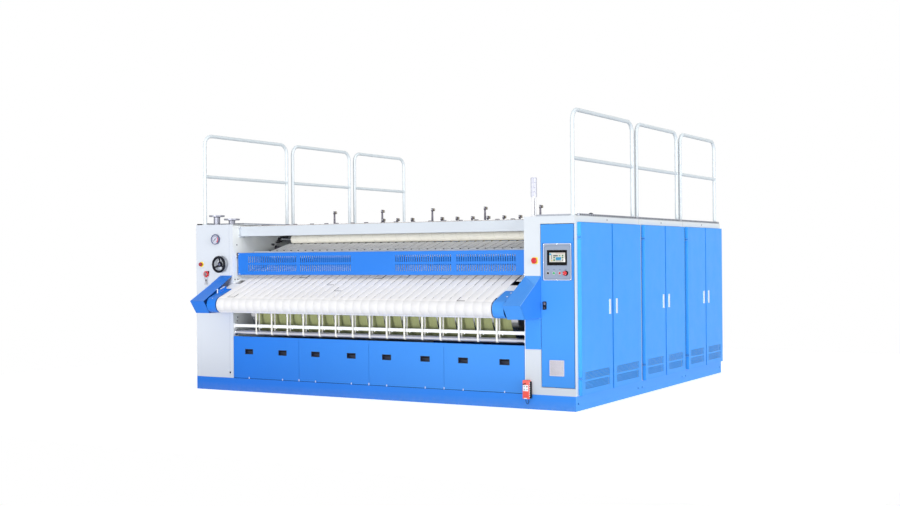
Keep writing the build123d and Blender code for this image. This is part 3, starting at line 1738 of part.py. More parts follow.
# ---------------------------------------------------------------- bases of the fixed controls
gauge_face_y = front_y - gauge_depth
hook_front_y = front_y - remote_gap + 2 * hook_gap
with BuildPart() as control_bases:
    block(
        (right_stop_x - stop_plate_width / 2, right_stop_x + stop_plate_width / 2),
        (plate_face_y, front_y),
        (right_stop_z - stop_plate_width / 2, right_stop_z + stop_plate_width / 2),
    )
    rod_y(left_stop_x, left_stop_z, left_stop_disc, (plate_face_y, front_y))
    for x, z in ((right_stop_x, right_stop_z), (left_stop_x, left_stop_z)):
        rod_y(
            x,
            z,
            stop_neck_radius + key_clearance,
            (plate_face_y - 1, front_y + 1),
            mode=Mode.SUBTRACT,
        )
    # socket of the key switch
    block(
        (switch_x - switch_post / 2, switch_x + switch_radius),
        (front_y - stop_plate_thickness, front_y),
        (switch_z - switch_post / 2, switch_z + switch_radius),
    )
    # gauge case with a recessed dial and a centre stud for the needle
    rod_y(gauge_x, gauge_z, gauge_radius, (gauge_face_y, front_y))
    rod_y(
        gauge_x,
        gauge_z,
        gauge_radius - gauge_rim,
        (gauge_face_y - 1, gauge_face_y + gauge_recess),
        mode=Mode.SUBTRACT,
    )
    rod_y(
        gauge_x,
        gauge_z,
        needle_width / 2,
        (gauge_face_y + gauge_recess / 2, gauge_face_y + gauge_recess),
    )
    # hook of the remote control
    hook_x = (remote_x - hook_width / 2, remote_x + hook_width / 2)
    block(hook_x, (hook_front_y, front_y), (hook_z - hook_tongue, hook_z))
    block(
        hook_x,
        (hook_front_y, hook_front_y + hook_tongue),
        (hook_z - hook_tongue, hook_z + hook_tongue_height),
    )
control_bases.part.label = "control_bases"
export_step(control_bases.part, "parts/control_bases.step")

# ---------------------------------------------------------------- gauge needle
# At rest it points at the dial's zero, down to the left.
needle_y = gauge_face_y + gauge_recess / 2
rest_turn = math.radians(needle_rest_angle)
needle_plane = Plane(
    origin=(gauge_x, needle_y, gauge_z),
    x_dir=(math.cos(rest_turn), 0, math.sin(rest_turn)),
    z_dir=(0, -1, 0),
)
with BuildPart() as gauge_needle:
    with BuildSketch(needle_plane):
        Circle(needle_width)
        with BuildLine():
            Polyline(
                (-needle_width / 2, -needle_tail),
                (needle_width / 2, -needle_tail),
                (needle_width / 6, needle_length),
                (-needle_width / 6, needle_length),
                close=True,
            )
        make_face()
        Circle(needle_width / 2 + running_clearance, mode=Mode.SUBTRACT)
    extrude(amount=-needle_thickness)
gauge_needle.part.label = "gauge_needle"
export_step(gauge_needle.part, "parts/gauge_needle.step")

# ---------------------------------------------------------------- valve handwheel
# The rim stands further out than the hub, so the three spokes slope.
wheel_y = front_y - wheel_stand_off
hub_y = wheel_y + wheel_dish
spoke_reach = wheel_radius - wheel_rim
with BuildPart() as handwheel:
    with Locations(Location((wheel_x, wheel_y, wheel_z), (90, 0, 0))):
        Torus(spoke_reach, wheel_rim)
    rod_y(
        wheel_x,
        wheel_z,
        wheel_hub_radius,
        (hub_y - wheel_hub_length / 2, hub_y + wheel_hub_length / 2),
    )
    for angle in wheel_spoke_angles:
        across = (math.cos(math.radians(angle)), math.sin(math.radians(angle)))
        spoke_way = (across[0] * spoke_reach, -wheel_dish, across[1] * spoke_reach)
        with BuildSketch(Plane(origin=(wheel_x, hub_y, wheel_z), z_dir=spoke_way)) as spoke:
            Circle(wheel_spoke_radius)
        extrude(amount=math.hypot(spoke_reach, wheel_dish))
    rod_y(
        wheel_x,
        wheel_z,
        wheel_stem_radius,
        (hub_y, pipe_y - valve_size / 2 + wheel_stem_depth),
    )
handwheel.part.label = "handwheel"
export_step(handwheel.part, "parts/handwheel.step")

# ---------------------------------------------------------------- key switch with its keys
switch_face_y = front_y - stop_plate_thickness
head_front_y = switch_face_y - key_clearance - switch_thickness
ring_z = switch_z - switch_radius - key_ring_size / 2
with BuildPart() as key_switch_head:
    rod_y(switch_x, switch_z, switch_radius, (head_front_y, head_front_y + switch_thickness))
    block(
        (switch_x - switch_bar_width / 2, switch_x + switch_bar_width / 2),
        (head_front_y - switch_bar_height, head_front_y),
        (switch_z - switch_radius + switch_bar_width, switch_z + switch_radius - switch_bar_width),
    )
    with Locations((switch_x, head_front_y + key_ring_wire, ring_z)):
        Torus(key_ring_size, key_ring_wire, rotation=(90, 0, 0))
    for lean in (-key_lean, key_lean):
        key_plane = Plane(
            origin=(switch_x, head_front_y + key_ring_wire, ring_z - key_ring_size),
            x_dir=(math.cos(math.radians(lean)), 0, math.sin(math.radians(lean))),
            z_dir=(0, -1, 0),
        )
        with BuildSketch(key_plane.offset(-key_thickness / 2)):
            with Locations((0, -key_length / 2)):
                Rectangle(key_width, key_length)
            with Locations((0, -key_width)):
                Circle(key_width)
        extrude(amount=key_thickness)
key_switch_head.part.label = "key_switch_head"
export_step(key_switch_head.part, "parts/key_switch_head.step")

# ---------------------------------------------------------------- remote control and its strap
remote_back_y = front_y - remote_gap
remote_front_y = remote_back_y - remote_depth
clip_z = hook_z + hook_tongue_height + hook_gap
with BuildPart() as remote_control:
    block(
        (remote_x - remote_width / 2, remote_x + remote_width / 2),
        (remote_front_y, remote_back_y),
        (remote_bottom, remote_bottom + remote_height),
    )
    fillet(remote_control.edges().filter_by(Axis.Z), radius=remote_corner)
    clip_x = (remote_x - hook_width / 2, remote_x + hook_width / 2)
    clip_back_y = front_y - hook_gap
    block(clip_x, (remote_back_y, clip_back_y), (clip_z, clip_z + hook_tongue))
    block(
        clip_x,
        (clip_back_y - hook_tongue, clip_back_y),
        (hook_z + hook_gap, clip_z + hook_tongue),
    )
remote_control.part.label = "remote_control"
export_step(remote_control.part, "parts/remote_control.step")

strap_y = (remote_front_y + remote_back_y) / 2
strap_bend = strap_span / 2 * strap_bend_share
with BuildPart() as remote_strap:
    with BuildLine() as strap_route:
        FilletPolyline(
            (remote_x - strap_span / 2, strap_y, remote_bottom),
            (remote_x - strap_span / 2, strap_y, remote_bottom - strap_drop),
            (remote_x + strap_span / 2, strap_y, remote_bottom - strap_drop),
            (remote_x + strap_span / 2, strap_y, remote_bottom),
            radius=strap_bend,
        )
    with BuildSketch(Plane.XY.offset(remote_bottom)):
        with Locations((remote_x - strap_span / 2, strap_y)):
            Circle(strap_radius)
    sweep(path=strap_route.line)
remote_strap.part.label = "remote_strap"
export_step(remote_strap.part, "parts/remote_strap.step")
strap_length = sum(edge.length for edge in strap_route.edges())
print("strap length", round(strap_length, 1), "bend radius", round(strap_bend, 1))
print("strap volume ratio", round(remote_strap.part.volume / (math.pi * strap_radius**2 * strap_length), 4))
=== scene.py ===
"""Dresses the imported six-roll flatwork ironer for its studio picture.

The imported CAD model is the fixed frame, in metres: X along the rolls, +Y to the
back, +Z up. Solids whose shape is right keep it and get a finish; belts, tubes,
controls and other parts that a plain solid can't show are built here again.
"""

import json
import logging
import math
from collections.abc import Iterable, Sequence
from dataclasses import dataclass
from enum import Enum

import bmesh
import bpy
import numpy as np
from mathutils import Matrix

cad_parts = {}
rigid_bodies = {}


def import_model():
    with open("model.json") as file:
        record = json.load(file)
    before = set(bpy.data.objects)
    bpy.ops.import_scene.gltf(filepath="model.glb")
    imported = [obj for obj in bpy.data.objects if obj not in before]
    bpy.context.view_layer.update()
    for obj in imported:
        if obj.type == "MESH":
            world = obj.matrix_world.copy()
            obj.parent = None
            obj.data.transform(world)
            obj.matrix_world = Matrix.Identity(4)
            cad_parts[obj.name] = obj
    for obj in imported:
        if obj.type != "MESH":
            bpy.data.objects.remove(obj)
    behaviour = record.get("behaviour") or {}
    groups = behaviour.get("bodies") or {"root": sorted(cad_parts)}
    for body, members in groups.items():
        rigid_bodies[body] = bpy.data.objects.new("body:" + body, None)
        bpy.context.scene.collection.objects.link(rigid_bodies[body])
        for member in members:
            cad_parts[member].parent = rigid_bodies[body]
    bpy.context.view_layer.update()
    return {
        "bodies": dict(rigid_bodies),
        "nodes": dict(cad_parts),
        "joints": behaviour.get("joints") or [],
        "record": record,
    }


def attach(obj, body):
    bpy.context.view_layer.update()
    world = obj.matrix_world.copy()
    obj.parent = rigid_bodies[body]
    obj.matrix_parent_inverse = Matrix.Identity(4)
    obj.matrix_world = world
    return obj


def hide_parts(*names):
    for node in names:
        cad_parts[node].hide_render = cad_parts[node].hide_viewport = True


LOG = logging.getLogger("ironer")
Array = np.ndarray
Vec = Sequence[float]
Pair = tuple[float, float]
Triple = tuple[float, float, float]

# Main planes of the machine: sides of the cabinets, inner walls, module joints, front and roof
HALF_BODY = 2.460
HALF_INSIDE = 1.900
MODULE_EDGES = (-2.273, -0.570, 0.850, 2.273)
FRONT_Y = MODULE_EDGES[0]
ROOF_Z = 1.940
# A bound past the whole machine, for boxes that are open on a side
FAR = 9
# Middle and top of the handrails' level tubes
RAIL_MIDDLE_Z = 2.520
RAIL_TOP_Z = 3.009
# Row of heated rolls: count, first axis, distance between axes and their height
ROLLS = 6
FIRST_ROLL_Y = -1.810
ROLL_PITCH = 0.740
ROLL_Z = 0.950


# ------------------------------------------------------------------ shapes
class Facing(Enum):
    """Where a part's face looks: rows are its across, up and outward directions."""

    FRONT = ((1, 0, 0), (0, 0, 1), (0, -1, 0))
    BACK = ((-1, 0, 0), (0, 0, 1), (0, 1, 0))
    RIGHT = ((0, 1, 0), (0, 0, 1), (1, 0, 0))
    LEFT = ((0, -1, 0), (0, 0, 1), (-1, 0, 0))
    UP = ((1, 0, 0), (0, 1, 0), (0, 0, 1))

    def place(self, local: Array, origin: Vec) -> Array:
        """Local (across, up, outward) points moved to the row frame."""
        return np.asarray(origin, float) + local @ np.array(self.value, float)


FRONT, BACK, RIGHT, LEFT, UP = Facing
SIDES = ((1, RIGHT), (-1, LEFT))


@dataclass(frozen=True)
class Patch:
    """A piece of surface: points, four-sided faces and end faces."""

    points: Array
    quads: Array
    caps: Array

    def repeated(self, offsets: Sequence[Vec]) -> "Patch":
        """The same surface once at every offset.

        Args:
            offsets: Moves from the first place, one (x, y, z) each.

        Returns:
            One patch that holds all the copies.
        """
        moves = np.asarray(offsets, float)
        step = (np.arange(len(moves)) * len(self.points))[:, None, None]
        points = (self.points[None] + moves[:, None]).reshape(-1, 3)
        quads = (self.quads[None] + step).reshape(-1, self.quads.shape[-1])
        caps = (self.caps[None] + step).reshape(-1, self.caps.shape[-1])
        return Patch(points, quads, caps)

    def turned_about(self, centre: Vec, axis: int, angles: Iterable[float]) -> list["Patch"]:
        """Copies turned about a line through centre along one axis.

        Args:
            centre: A point on the line.
            axis: 0, 1 or 2 for X, Y or Z.
            angles: Turns in degrees.

        Returns:
            One patch for each angle.
        """
        middle = np.asarray(centre, float)
        a, b = (axis + 1) % 3, (axis + 2) % 3
        copies = []
        for angle in angles:
            t = math.radians(angle)
            local = self.points - middle
            spun = local.copy()
            spun[:, a] = math.cos(t) * local[:, a] - math.sin(t) * local[:, b]
            spun[:, b] = math.sin(t) * local[:, a] + math.cos(t) * local[:, b]
            copies.append(Patch(spun + middle, self.quads, self.caps))
        return copies


def loft(rings: Array, closed: bool = False) -> Patch:
    """Surface through closed rings: face (k, v) joins points v and v+1 of rings k and k+1.

    Args:
        rings: Array of rings, points and coordinates.
        closed: True where the last ring joins the first.

    Returns:
        The patch, with flat ends unless it is closed.
    """
    count, size = rings.shape[:2]
    index = np.arange(count * size).reshape(count, size)
    near = index if closed else index[:-1]
    far = np.roll(index, -1, axis=0) if closed else index[1:]
    quads = np.stack([near, np.roll(near, -1, 1), np.roll(far, -1, 1), far], -1).reshape(-1, 4)
    caps = np.empty((0, size), int) if closed else np.stack([index[0][::-1], index[-1]])
    return Patch(rings.reshape(-1, 3), quads, caps)


def rounded_outline(width: float, height: float, radius: float, steps: int = 3) -> Array:
    """Rounded rectangle about zero: centre + radius·(cos t, sin t) at each corner."""
    radius = max(min(radius, width / 2 - 1e-5, height / 2 - 1e-5), 1e-5)
    t = np.arange(4)[:, None] * np.pi / 2 + np.linspace(0, np.pi / 2, steps + 1)
    corner = np.array([[1, 1], [-1, 1], [-1, -1], [1, -1]]) * (
        np.array([width, height]) / 2 - radius
    )
    return (corner[:, None, :] + radius * np.stack([np.cos(t), np.sin(t)], -1)).reshape(-1, 2)


def circle(radius: float, steps: int = 24) -> Array:
    """Round outline: radius·(cos t, sin t)."""
    t = np.linspace(0, 2 * np.pi, steps, endpoint=False)
    return radius * np.stack([np.cos(t), np.sin(t)], -1)


def block(
    lo: Vec, hi: Vec, facing: Facing = FRONT, radius: float = 0.003, edge: float = 0.0012,
    steps: int = 2
) -> Patch:
    """Box between two corners whose long edges and rims are eased.

    Ring t is the rounded rectangle shrunk by edge·(1 - sin t) and standing edge·(1 - cos t)
    in from its end, t from 0 to a quarter turn.

    Args:
        lo: One corner.
        hi: The opposite corner.
        facing: The way the box is carried.
        radius: Radius of the four edges along that way.
        edge: Radius of the rims.
        steps: Facets of each quarter turn.

    Returns:
        The closed box.
    """
    low, high = np.minimum(lo, hi), np.maximum(lo, hi)
    width, height, depth = np.abs(np.array(facing.value) @ (high - low))
    edge = min(edge, depth / 2.01, width / 2.01, height / 2.01)
    t = np.linspace(0, np.pi / 2, steps + 1)
    inset = np.concatenate([edge * (1 - np.sin(t)), edge * (1 - np.sin(t))[::-1]])
    rise = np.concatenate(
        [-depth / 2 + edge * (1 - np.cos(t)), depth / 2 - edge * (1 - np.cos(t))[::-1]]
    )
    rings = [
        np.column_stack(
            [
                rounded_outline(width - 2 * i, height - 2 * i, radius - i, steps),
                np.full(4 * steps + 4, h)
            ]
        )
        for i, h in zip(inset, rise)
    ]
    return loft(facing.place(np.array(rings), (low + high) / 2))


def turned(profile: Sequence[Vec], origin: Vec, facing: Facing, steps: int = 28) -> Patch:
    """Profile carried round an axis: P = origin + r·(cos a, sin a) + h·outward.

    Args:
        profile: Points of (radius, height), from one end to the other.
        origin: Where height 0 lies on the axis.
        facing: The axis, along its outward direction.
        steps: Facets round.

    Returns:
        The turned form, closed at both ends.
    """
    shape = np.asarray(profile, float)
    ring = circle(1.0, steps)
    local = np.concatenate(
        [
            shape[:, None, :1] * ring[None],
            np.broadcast_to(shape[:, None, 1:], (len(shape), steps, 1))
        ],
        -1
    )
    whole = loft(facing.place(local, origin))
    return Patch(whole.points, whole.quads, whole.caps[[shape[0, 0] > 1e-6, shape[-1, 0] > 1e-6]])


def carried(
    path: Array, section: Array, across: Array | float, closed: bool = True,
    widening: Array | float = 1.0
) -> Patch:
    """Section of (across, outward) carried along a line in an upright plane.

    P(s, v) = path(s) + outward(v)·normal(s), and X = across(s) + widening(s)·across(v).

    Args:
        path: Points of (y, z).
        section: Closed outline of (across, outward).
        across: X of the line, one value or one for each point.
        closed: True where the line closes.
        widening: Stretch of the section's width, one value or one for each point.

    Returns:
        The carried form.
    """
    ahead = np.roll(path, -1, 0) - np.roll(path, 1, 0) if closed else np.gradient(path, axis=0)
    ahead = ahead / np.linalg.norm(ahead, axis=1, keepdims=True)
    normal = np.stack([ahead[:, 1], -ahead[:, 0]], -1)
    yz = path[:, None, :] + section[None, :, 1:2] * normal[:, None, :]
    middle, stretch = (
        np.broadcast_to(np.asarray(v, float), (len(path),))[:, None, None]
        for v in (across, widening)
    )
    x = middle + stretch * section[None, :, :1]
    return loft(np.concatenate([x, yz], -1), closed)


def hoop(outer: Array, inner: Array, depth: float, origin: Vec, facing: Facing) -> Patch:
    """Flat ring between two outlines of equal count: ring k holds point k of both."""
    back, front = np.zeros((len(outer), 1)), np.full((len(outer), 1), depth)
    local = np.stack(
        [
            np.hstack(pair)
            for pair in ((outer, back), (outer, front), (inner, front), (inner, back))
        ],
        1
    )
    return loft(facing.place(local, origin), closed=True)


def torus(
    radius: float, tube: Array | float, around: int, steps: int, origin: Vec, facing: Facing
) -> Patch:
    """Round ring: radius + tube·cos t carried round the axis, and tube·sin t along it.

    Args:
        radius: Radius of the ring's middle line.
        tube: Radius of its tube, one value or a column of one for each step round.
        around: Steps round the ring.
        steps: Steps round the tube.
        origin: The ring's middle.
        facing: Its axis.

    Returns:
        The closed ring.
    """
    t = np.linspace(0, 2 * np.pi, steps, endpoint=False)
    a = np.linspace(0, 2 * np.pi, around, endpoint=False)[:, None]
    reach = radius + tube * np.cos(t)
    rings = np.stack([reach * np.cos(a), reach * np.sin(a), tube * np.sin(t) + 0 * a], -1)
    return loft(facing.place(rings, origin), closed=True)


def hull_of(outline: Sequence[Vec], thickness: Vec) -> Patch:
    """Flat polygon of row-frame points carried along a thickness vector."""
    ring = np.asarray(outline, float)
    return loft(np.stack([ring, ring + np.asarray(thickness, float)]))


def belt_path(front: Vec, rear: Vec, sag: float = 0.0, arc: int = 14, run: int = 10) -> Array:
    """Closed line round two rollers given as (y, z, radius).

    The straight runs are the outer tangents, whose normal n has n·(c2 - c1) = r1 - r2. The
    lower run hangs by 4·sag·t·(1 - t).

    Args:
        front: First roller.
        rear: Second roller.
        sag: Drop of the lower run at its middle.
        arc: Steps round each roller.
        run: Steps along each run.

    Returns:
        Points of (y, z), anticlockwise seen from +X towards -X.
    """
    c1, c2 = np.array(front[:2], float), np.array(rear[:2], float)
    along = c2 - c1
    lean = math.atan2(along[1], along[0])
    open_angle = math.acos((front[2] - rear[2]) / np.hypot(*along))
    t1 = np.linspace(lean + open_angle, lean - open_angle + 2 * np.pi, arc)
    t2 = np.linspace(lean - open_angle, lean + open_angle, arc)
    one = c1 + front[2] * np.stack([np.cos(t1), np.sin(t1)], -1)
    two = c2 + rear[2] * np.stack([np.cos(t2), np.sin(t2)], -1)
    t = np.linspace(0, 1, run + 2)[1:-1, None]
    low = one[-1] + t * (two[0] - one[-1])
    low[:, 1] -= 4 * sag * t[:, 0] * (1 - t[:, 0])
    high = two[-1] + t * (one[0] - two[-1])
    return np.concatenate([one, low, two, high])


def smooth_noise(count: int, size: float, seed: int) -> Array:
    """Slow wandering values: size·Σ sin(k·t + phase)/k over four waves."""
    phase = np.random.default_rng(seed).uniform(0, 2 * np.pi, 4)
    t = np.linspace(0, 2 * np.pi, count, endpoint=False)
    k = np.arange(1, 5)
    return size * (np.sin(k * t[:, None] + phase) / k).sum(1)


# ------------------------------------------------------------------ finishes
Socket = bpy.types.NodeSocket
Tree = bpy.types.NodeTree
Node = bpy.types.Node


def linear(code: str) -> tuple[float, float, float, float]:
    """A hex colour as linear light: ((c + 0.055)/1.055)^2.4, or c/12.92 near black."""
    parts = [int(code[i : i + 2], 16) / 255 for i in (1, 3, 5)]
    light = [c / 12.92 if c <= 0.04045 else ((c + 0.055) / 1.055) ** 2.4 for c in parts]
    return (*light, 1.0)


def add(tree: Tree, kind: str, inputs: dict | None = None, **settings: object) -> Node:
    """Adds one node.

    Args:
        tree: The material's or world's nodes.
        kind: Short node name, as in ShaderNode<kind>.
        inputs: Socket names or numbers with the values or sockets they get.
        settings: The node's own settings.

    Returns:
        The node.
    """
    made = tree.nodes.new("ShaderNode" + kind)
    for key, value in settings.items():
        setattr(made, key, value)
    for key, value in (inputs or {}).items():
        if isinstance(value, Socket):
            tree.links.new(value, made.inputs[key])
        else:
            made.inputs[key].default_value = value
    return made


def maths(tree: Tree, operation: str, a: Socket | float, b: Socket | float = 0.0) -> Socket:
    """One sum on two values."""
    return add(tree, "Math", {0: a, 1: b}, operation=operation).outputs[0]


def mix(tree: Tree, factor: Socket | float, a: Socket | Vec, b: Socket | Vec) -> Socket:
    """Colour a where factor is 0 and b where it is 1."""
    return add(tree, "Mix", {0: factor, 6: a, 7: b}, data_type="RGBA").outputs[2]


def remap(
    tree: Tree, value: Socket, low: float, high: float, to_low: float, to_high: float
) -> Socket:
    """Value moved from one range to another, held at its ends."""
    inputs = {
        "Value": value, "From Min": low, "From Max": high, "To Min": to_low, "To Max": to_high
    }
    return add(tree, "MapRange", inputs).outputs["Result"]


def cloud(tree: Tree, place: Socket, scale: float, detail: float) -> Socket:
    """Cloudy values about 0.5 whose largest patches are 1/scale metres wide."""
    inputs = {"Vector": place, "Scale": scale, "Detail": detail}
    return add(tree, "TexNoise", inputs).outputs["Fac"]


@dataclass(frozen=True)
class Region:
    """A box of the object whose part of a solid has another colour, gloss and metal."""

    lo: Triple
    hi: Triple
    colour: str
    roughness: float
    metallic: float = 0.0

    def mask(self, tree: Tree, place: Socket) -> Socket:
        """1 inside the box and 0 outside, from the point's place on each limited axis."""
        axes = add(tree, "SeparateXYZ", {0: place})
        result: Socket | float = 1.0
        for n in range(3):
            if self.lo[n] > -FAR:
                result = maths(
                    tree, "MULTIPLY", maths(tree, "GREATER_THAN", axes.outputs[n], self.lo[n]),
                    result
                )
            if self.hi[n] < FAR:
                result = maths(
                    tree, "MULTIPLY", maths(tree, "LESS_THAN", axes.outputs[n], self.hi[n]), result
                )
        return result


@dataclass(frozen=True)
class Finish:
    """A real surface; the class dresses the plain shader with its pattern."""

    name: str
    colour: str
    roughness: float = 0.5
    metallic: float = 0.0
    regions: tuple[Region, ...] = ()

    def material(self) -> bpy.types.Material:
        """The Blender material, made once."""
        made = bpy.data.materials.get(self.name)
        if made is None:
            made = bpy.data.materials.new(self.name)
            made.use_nodes = True
            tree = made.node_tree
            shader = tree.nodes["Principled BSDF"]
            shader.inputs["Roughness"].default_value = self.roughness
            shader.inputs["Metallic"].default_value = self.metallic
            shader.inputs["Base Color"].default_value = linear(self.colour)
            place = add(tree, "TexCoord").outputs["Object"]
            self.dress(tree, shader, place)
            self.part_off(tree, shader, place)
            made.diffuse_color = linear(self.colour)
        return made

    def dress(self, tree: Tree, shader: Node, place: Socket) -> None:
        """Adds the surface's own pattern; each finish has its own."""
        raise NotImplementedError

    def colour_drift(
        self, tree: Tree, shader: Node, place: Socket, scale: float, depth: float
    ) -> Socket:
        """Base colour that darkens by depth in slow patches 1/scale metres wide."""
        noise = cloud(tree, place, scale, 3.0)
        base = linear(self.colour)
        darker = tuple(c * (1 - depth) for c in base[:3]) + (1.0,)
        drifted = mix(tree, remap(tree, noise, 0.3, 0.7, 0.0, 1.0), darker, base)
        tree.links.new(drifted, shader.inputs["Base Color"])
        return drifted

    def rough_between(
        self, tree: Tree, shader: Node, place: Socket, scale: float, spread: float
    ) -> None:
        """Roughness that wanders by spread about the finish's own."""
        noise = cloud(tree, place, scale, 4.0)
        value = remap(
            tree, noise, 0.25, 0.75, max(self.roughness - spread, 0.02), self.roughness + spread
        )
        tree.links.new(value, shader.inputs["Roughness"])

    def relief(
        self, tree: Tree, shader: Node, height: Socket, depth: float, strength: float = 0.5
    ) -> None:
        """Bumps the surface by height, depth metres at most."""
        bump = add(tree, "Bump", {"Strength": strength, "Distance": depth, "Height": height})
        tree.links.new(bump.outputs["Normal"], shader.inputs["Normal"])

    def part_off(self, tree: Tree, shader: Node, place: Socket) -> None:
        """Gives each region its own colour, gloss and metal."""
        for region in self.regions:
            mask = region.mask(tree, place)
            for socket, inside in (
                ("Base Color", linear(region.colour)),
                ("Roughness", region.roughness),
                ("Metallic", region.metallic),
            ):
                port = shader.inputs[socket]
                before = port.links[0].from_socket if port.is_linked else port.default_value
                if socket == "Base Color":
                    value = mix(
                        tree, mask, before if isinstance(before, Socket) else tuple(before), inside
                    )
                else:
                    value = add(
                        tree, "Mix", {0: mask, 2: before, 3: inside}, data_type="FLOAT"
                    ).outputs[0]
                tree.links.new(value, port)


@dataclass(frozen=True)
class PowderCoat(Finish):
    """Baked paint on folded sheet: soft gloss, a faint orange peel and slow changes of shade."""

    drift: float = 0.05
    dust_top: float = 0.0
    # right: the colour the coat reaches at its right end, painted light where the lamps fall from
    # the right
    right: str = ""
    span: Pair = (-2.0, 1.2)
    shine: float = 0.3

    def dress(self, tree: Tree, shader: Node, place: Socket) -> None:
        """Orange peel 3 mm across, shade over half metres, a paler right end that is painted light
        from the lamps on the right, and dust low down.
        """
        colour = self.colour_drift(tree, shader, place, 1.4, self.drift)
        self.rough_between(tree, shader, place, 6.0, 0.05)
        shader.inputs["Specular IOR Level"].default_value = self.shine
        # The paler right end is painted light: the colour brightens across span towards the lit
        # right side
        if self.right:
            across = add(tree, "SeparateXYZ", {0: place}).outputs[0]
            share = remap(tree, across, *self.span, 0.0, 1.0)
            colour = mix(tree, share, colour, linear(self.right))
            tree.links.new(colour, shader.inputs["Base Color"])
        if self.dust_top > 0:
            height = add(tree, "SeparateXYZ", {0: place}).outputs[2]
            specks = cloud(tree, place, 25.0, 6.0)
            low = maths(
                tree, "MULTIPLY", remap(tree, height, 0.0, self.dust_top, 0.22, 0.0), specks
            )
            tree.links.new(mix(tree, low, colour, linear("#B9BFC6")), shader.inputs["Base Color"])
        peel = cloud(tree, place, 330.0, 1.0)
        self.relief(tree, shader, peel, 0.0002, 0.25)


@dataclass(frozen=True)
class WrappedTube(PowderCoat):
    """White painted rail whose level tubes still carry their spiral wrapping film."""

    def dress(self, tree: Tree, shader: Node, place: Socket) -> None:
        """Film edges every 45 mm as faint slanting bands on the level tubes only."""
        colour = self.colour_drift(tree, shader, place, 1.4, self.drift)
        axes = add(tree, "SeparateXYZ", {0: place})
        slant = maths(tree, "ADD", axes.outputs[1], maths(tree, "MULTIPLY", axes.outputs[2], 1.1))
        turn = maths(tree, "FRACT", maths(tree, "MULTIPLY", slant, 1 / 0.045))
        band = remap(
            tree, maths(tree, "ABSOLUTE", maths(tree, "SUBTRACT", turn, 0.5)), 0.22, 0.34, 0.0, 1.0
        )
        top_from, half_tube = 2.975, 0.0205
        top = maths(tree, "GREATER_THAN", axes.outputs[2], top_from)
        near = maths(tree, "ABSOLUTE", maths(tree, "SUBTRACT", axes.outputs[2], RAIL_MIDDLE_Z))
        level = maths(tree, "MAXIMUM", top, maths(tree, "LESS_THAN", near, half_tube))
        film = maths(tree, "MULTIPLY", band, level)
        shade = maths(tree, "MULTIPLY", film, 0.55)
        tree.links.new(mix(tree, shade, colour, linear("#C9D6DC")), shader.inputs["Base Color"])
        self.rough_between(tree, shader, place, 9.0, 0.06)
        self.relief(tree, shader, film, 0.0006, 0.4)


@dataclass(frozen=True)
class DrawnSteel(Finish):
    """Bare or plated steel with fine drawn lines along one axis and a few duller patches."""

    along: int = 0
    grain: float = 1400.0

    def dress(self, tree: Tree, shader: Node, place: Socket) -> None:
        """Lines under a millimetre wide, drawn out sixty times along the chosen axis."""
        stretch = [self.grain] * 3
        stretch[self.along] = self.grain / 60
        lines = add(tree, "Mapping", {"Vector": place, "Scale": stretch})
        drawn = cloud(tree, lines.outputs[0], 1.0, 2.0)
        self.colour_drift(tree, shader, place, 5.0, 0.12)
        value = remap(
            tree, drawn, 0.3, 0.7, max(self.roughness - 0.06, 0.03), self.roughness + 0.08
        )
        tree.links.new(value, shader.inputs["Roughness"])
        self.relief(tree, shader, drawn, 0.00006, 0.3)


@dataclass(frozen=True)
class CastIron(Finish):
    """Cast or blackened iron: dull, with a sandy skin and lighter rubbed spots."""

    def dress(self, tree: Tree, shader: Node, place: Socket) -> None:
        """Sand grain 1.5 mm across and rubbed patches a few centimetres wide."""
        base = self.colour_drift(tree, shader, place, 14.0, 0.25)
        rub = cloud(tree, place, 38.0, 5.0)
        worn = remap(tree, rub, 0.62, 0.72, 0.0, 0.35)
        tree.links.new(mix(tree, worn, base, linear("#8A8B90")), shader.inputs["Base Color"])
        sand = add(tree, "TexVoronoi", {"Vector": place, "Scale": 650.0}).outputs["Distance"]
        self.relief(tree, shader, sand, 0.0003, 0.5)
        self.rough_between(tree, shader, place, 30.0, 0.1)


@dataclass(frozen=True)
class MouldedPlastic(Finish):
    """Injection-moulded plastic: even colour, fine texture and a soft sheen."""

    texture: float = 900.0
    shine: float = 0.5

    def dress(self, tree: Tree, shader: Node, place: Socket) -> None:
        """Mould texture about a millimetre across and hand-worn gloss in patches."""
        self.colour_drift(tree, shader, place, 22.0, 0.06)
        shader.inputs["Specular IOR Level"].default_value = self.shine
        self.rough_between(tree, shader, place, 60.0, 0.07)
        grain = cloud(tree, place, self.texture, 2.0)
        self.relief(tree, shader, grain, 0.0001, 0.3)


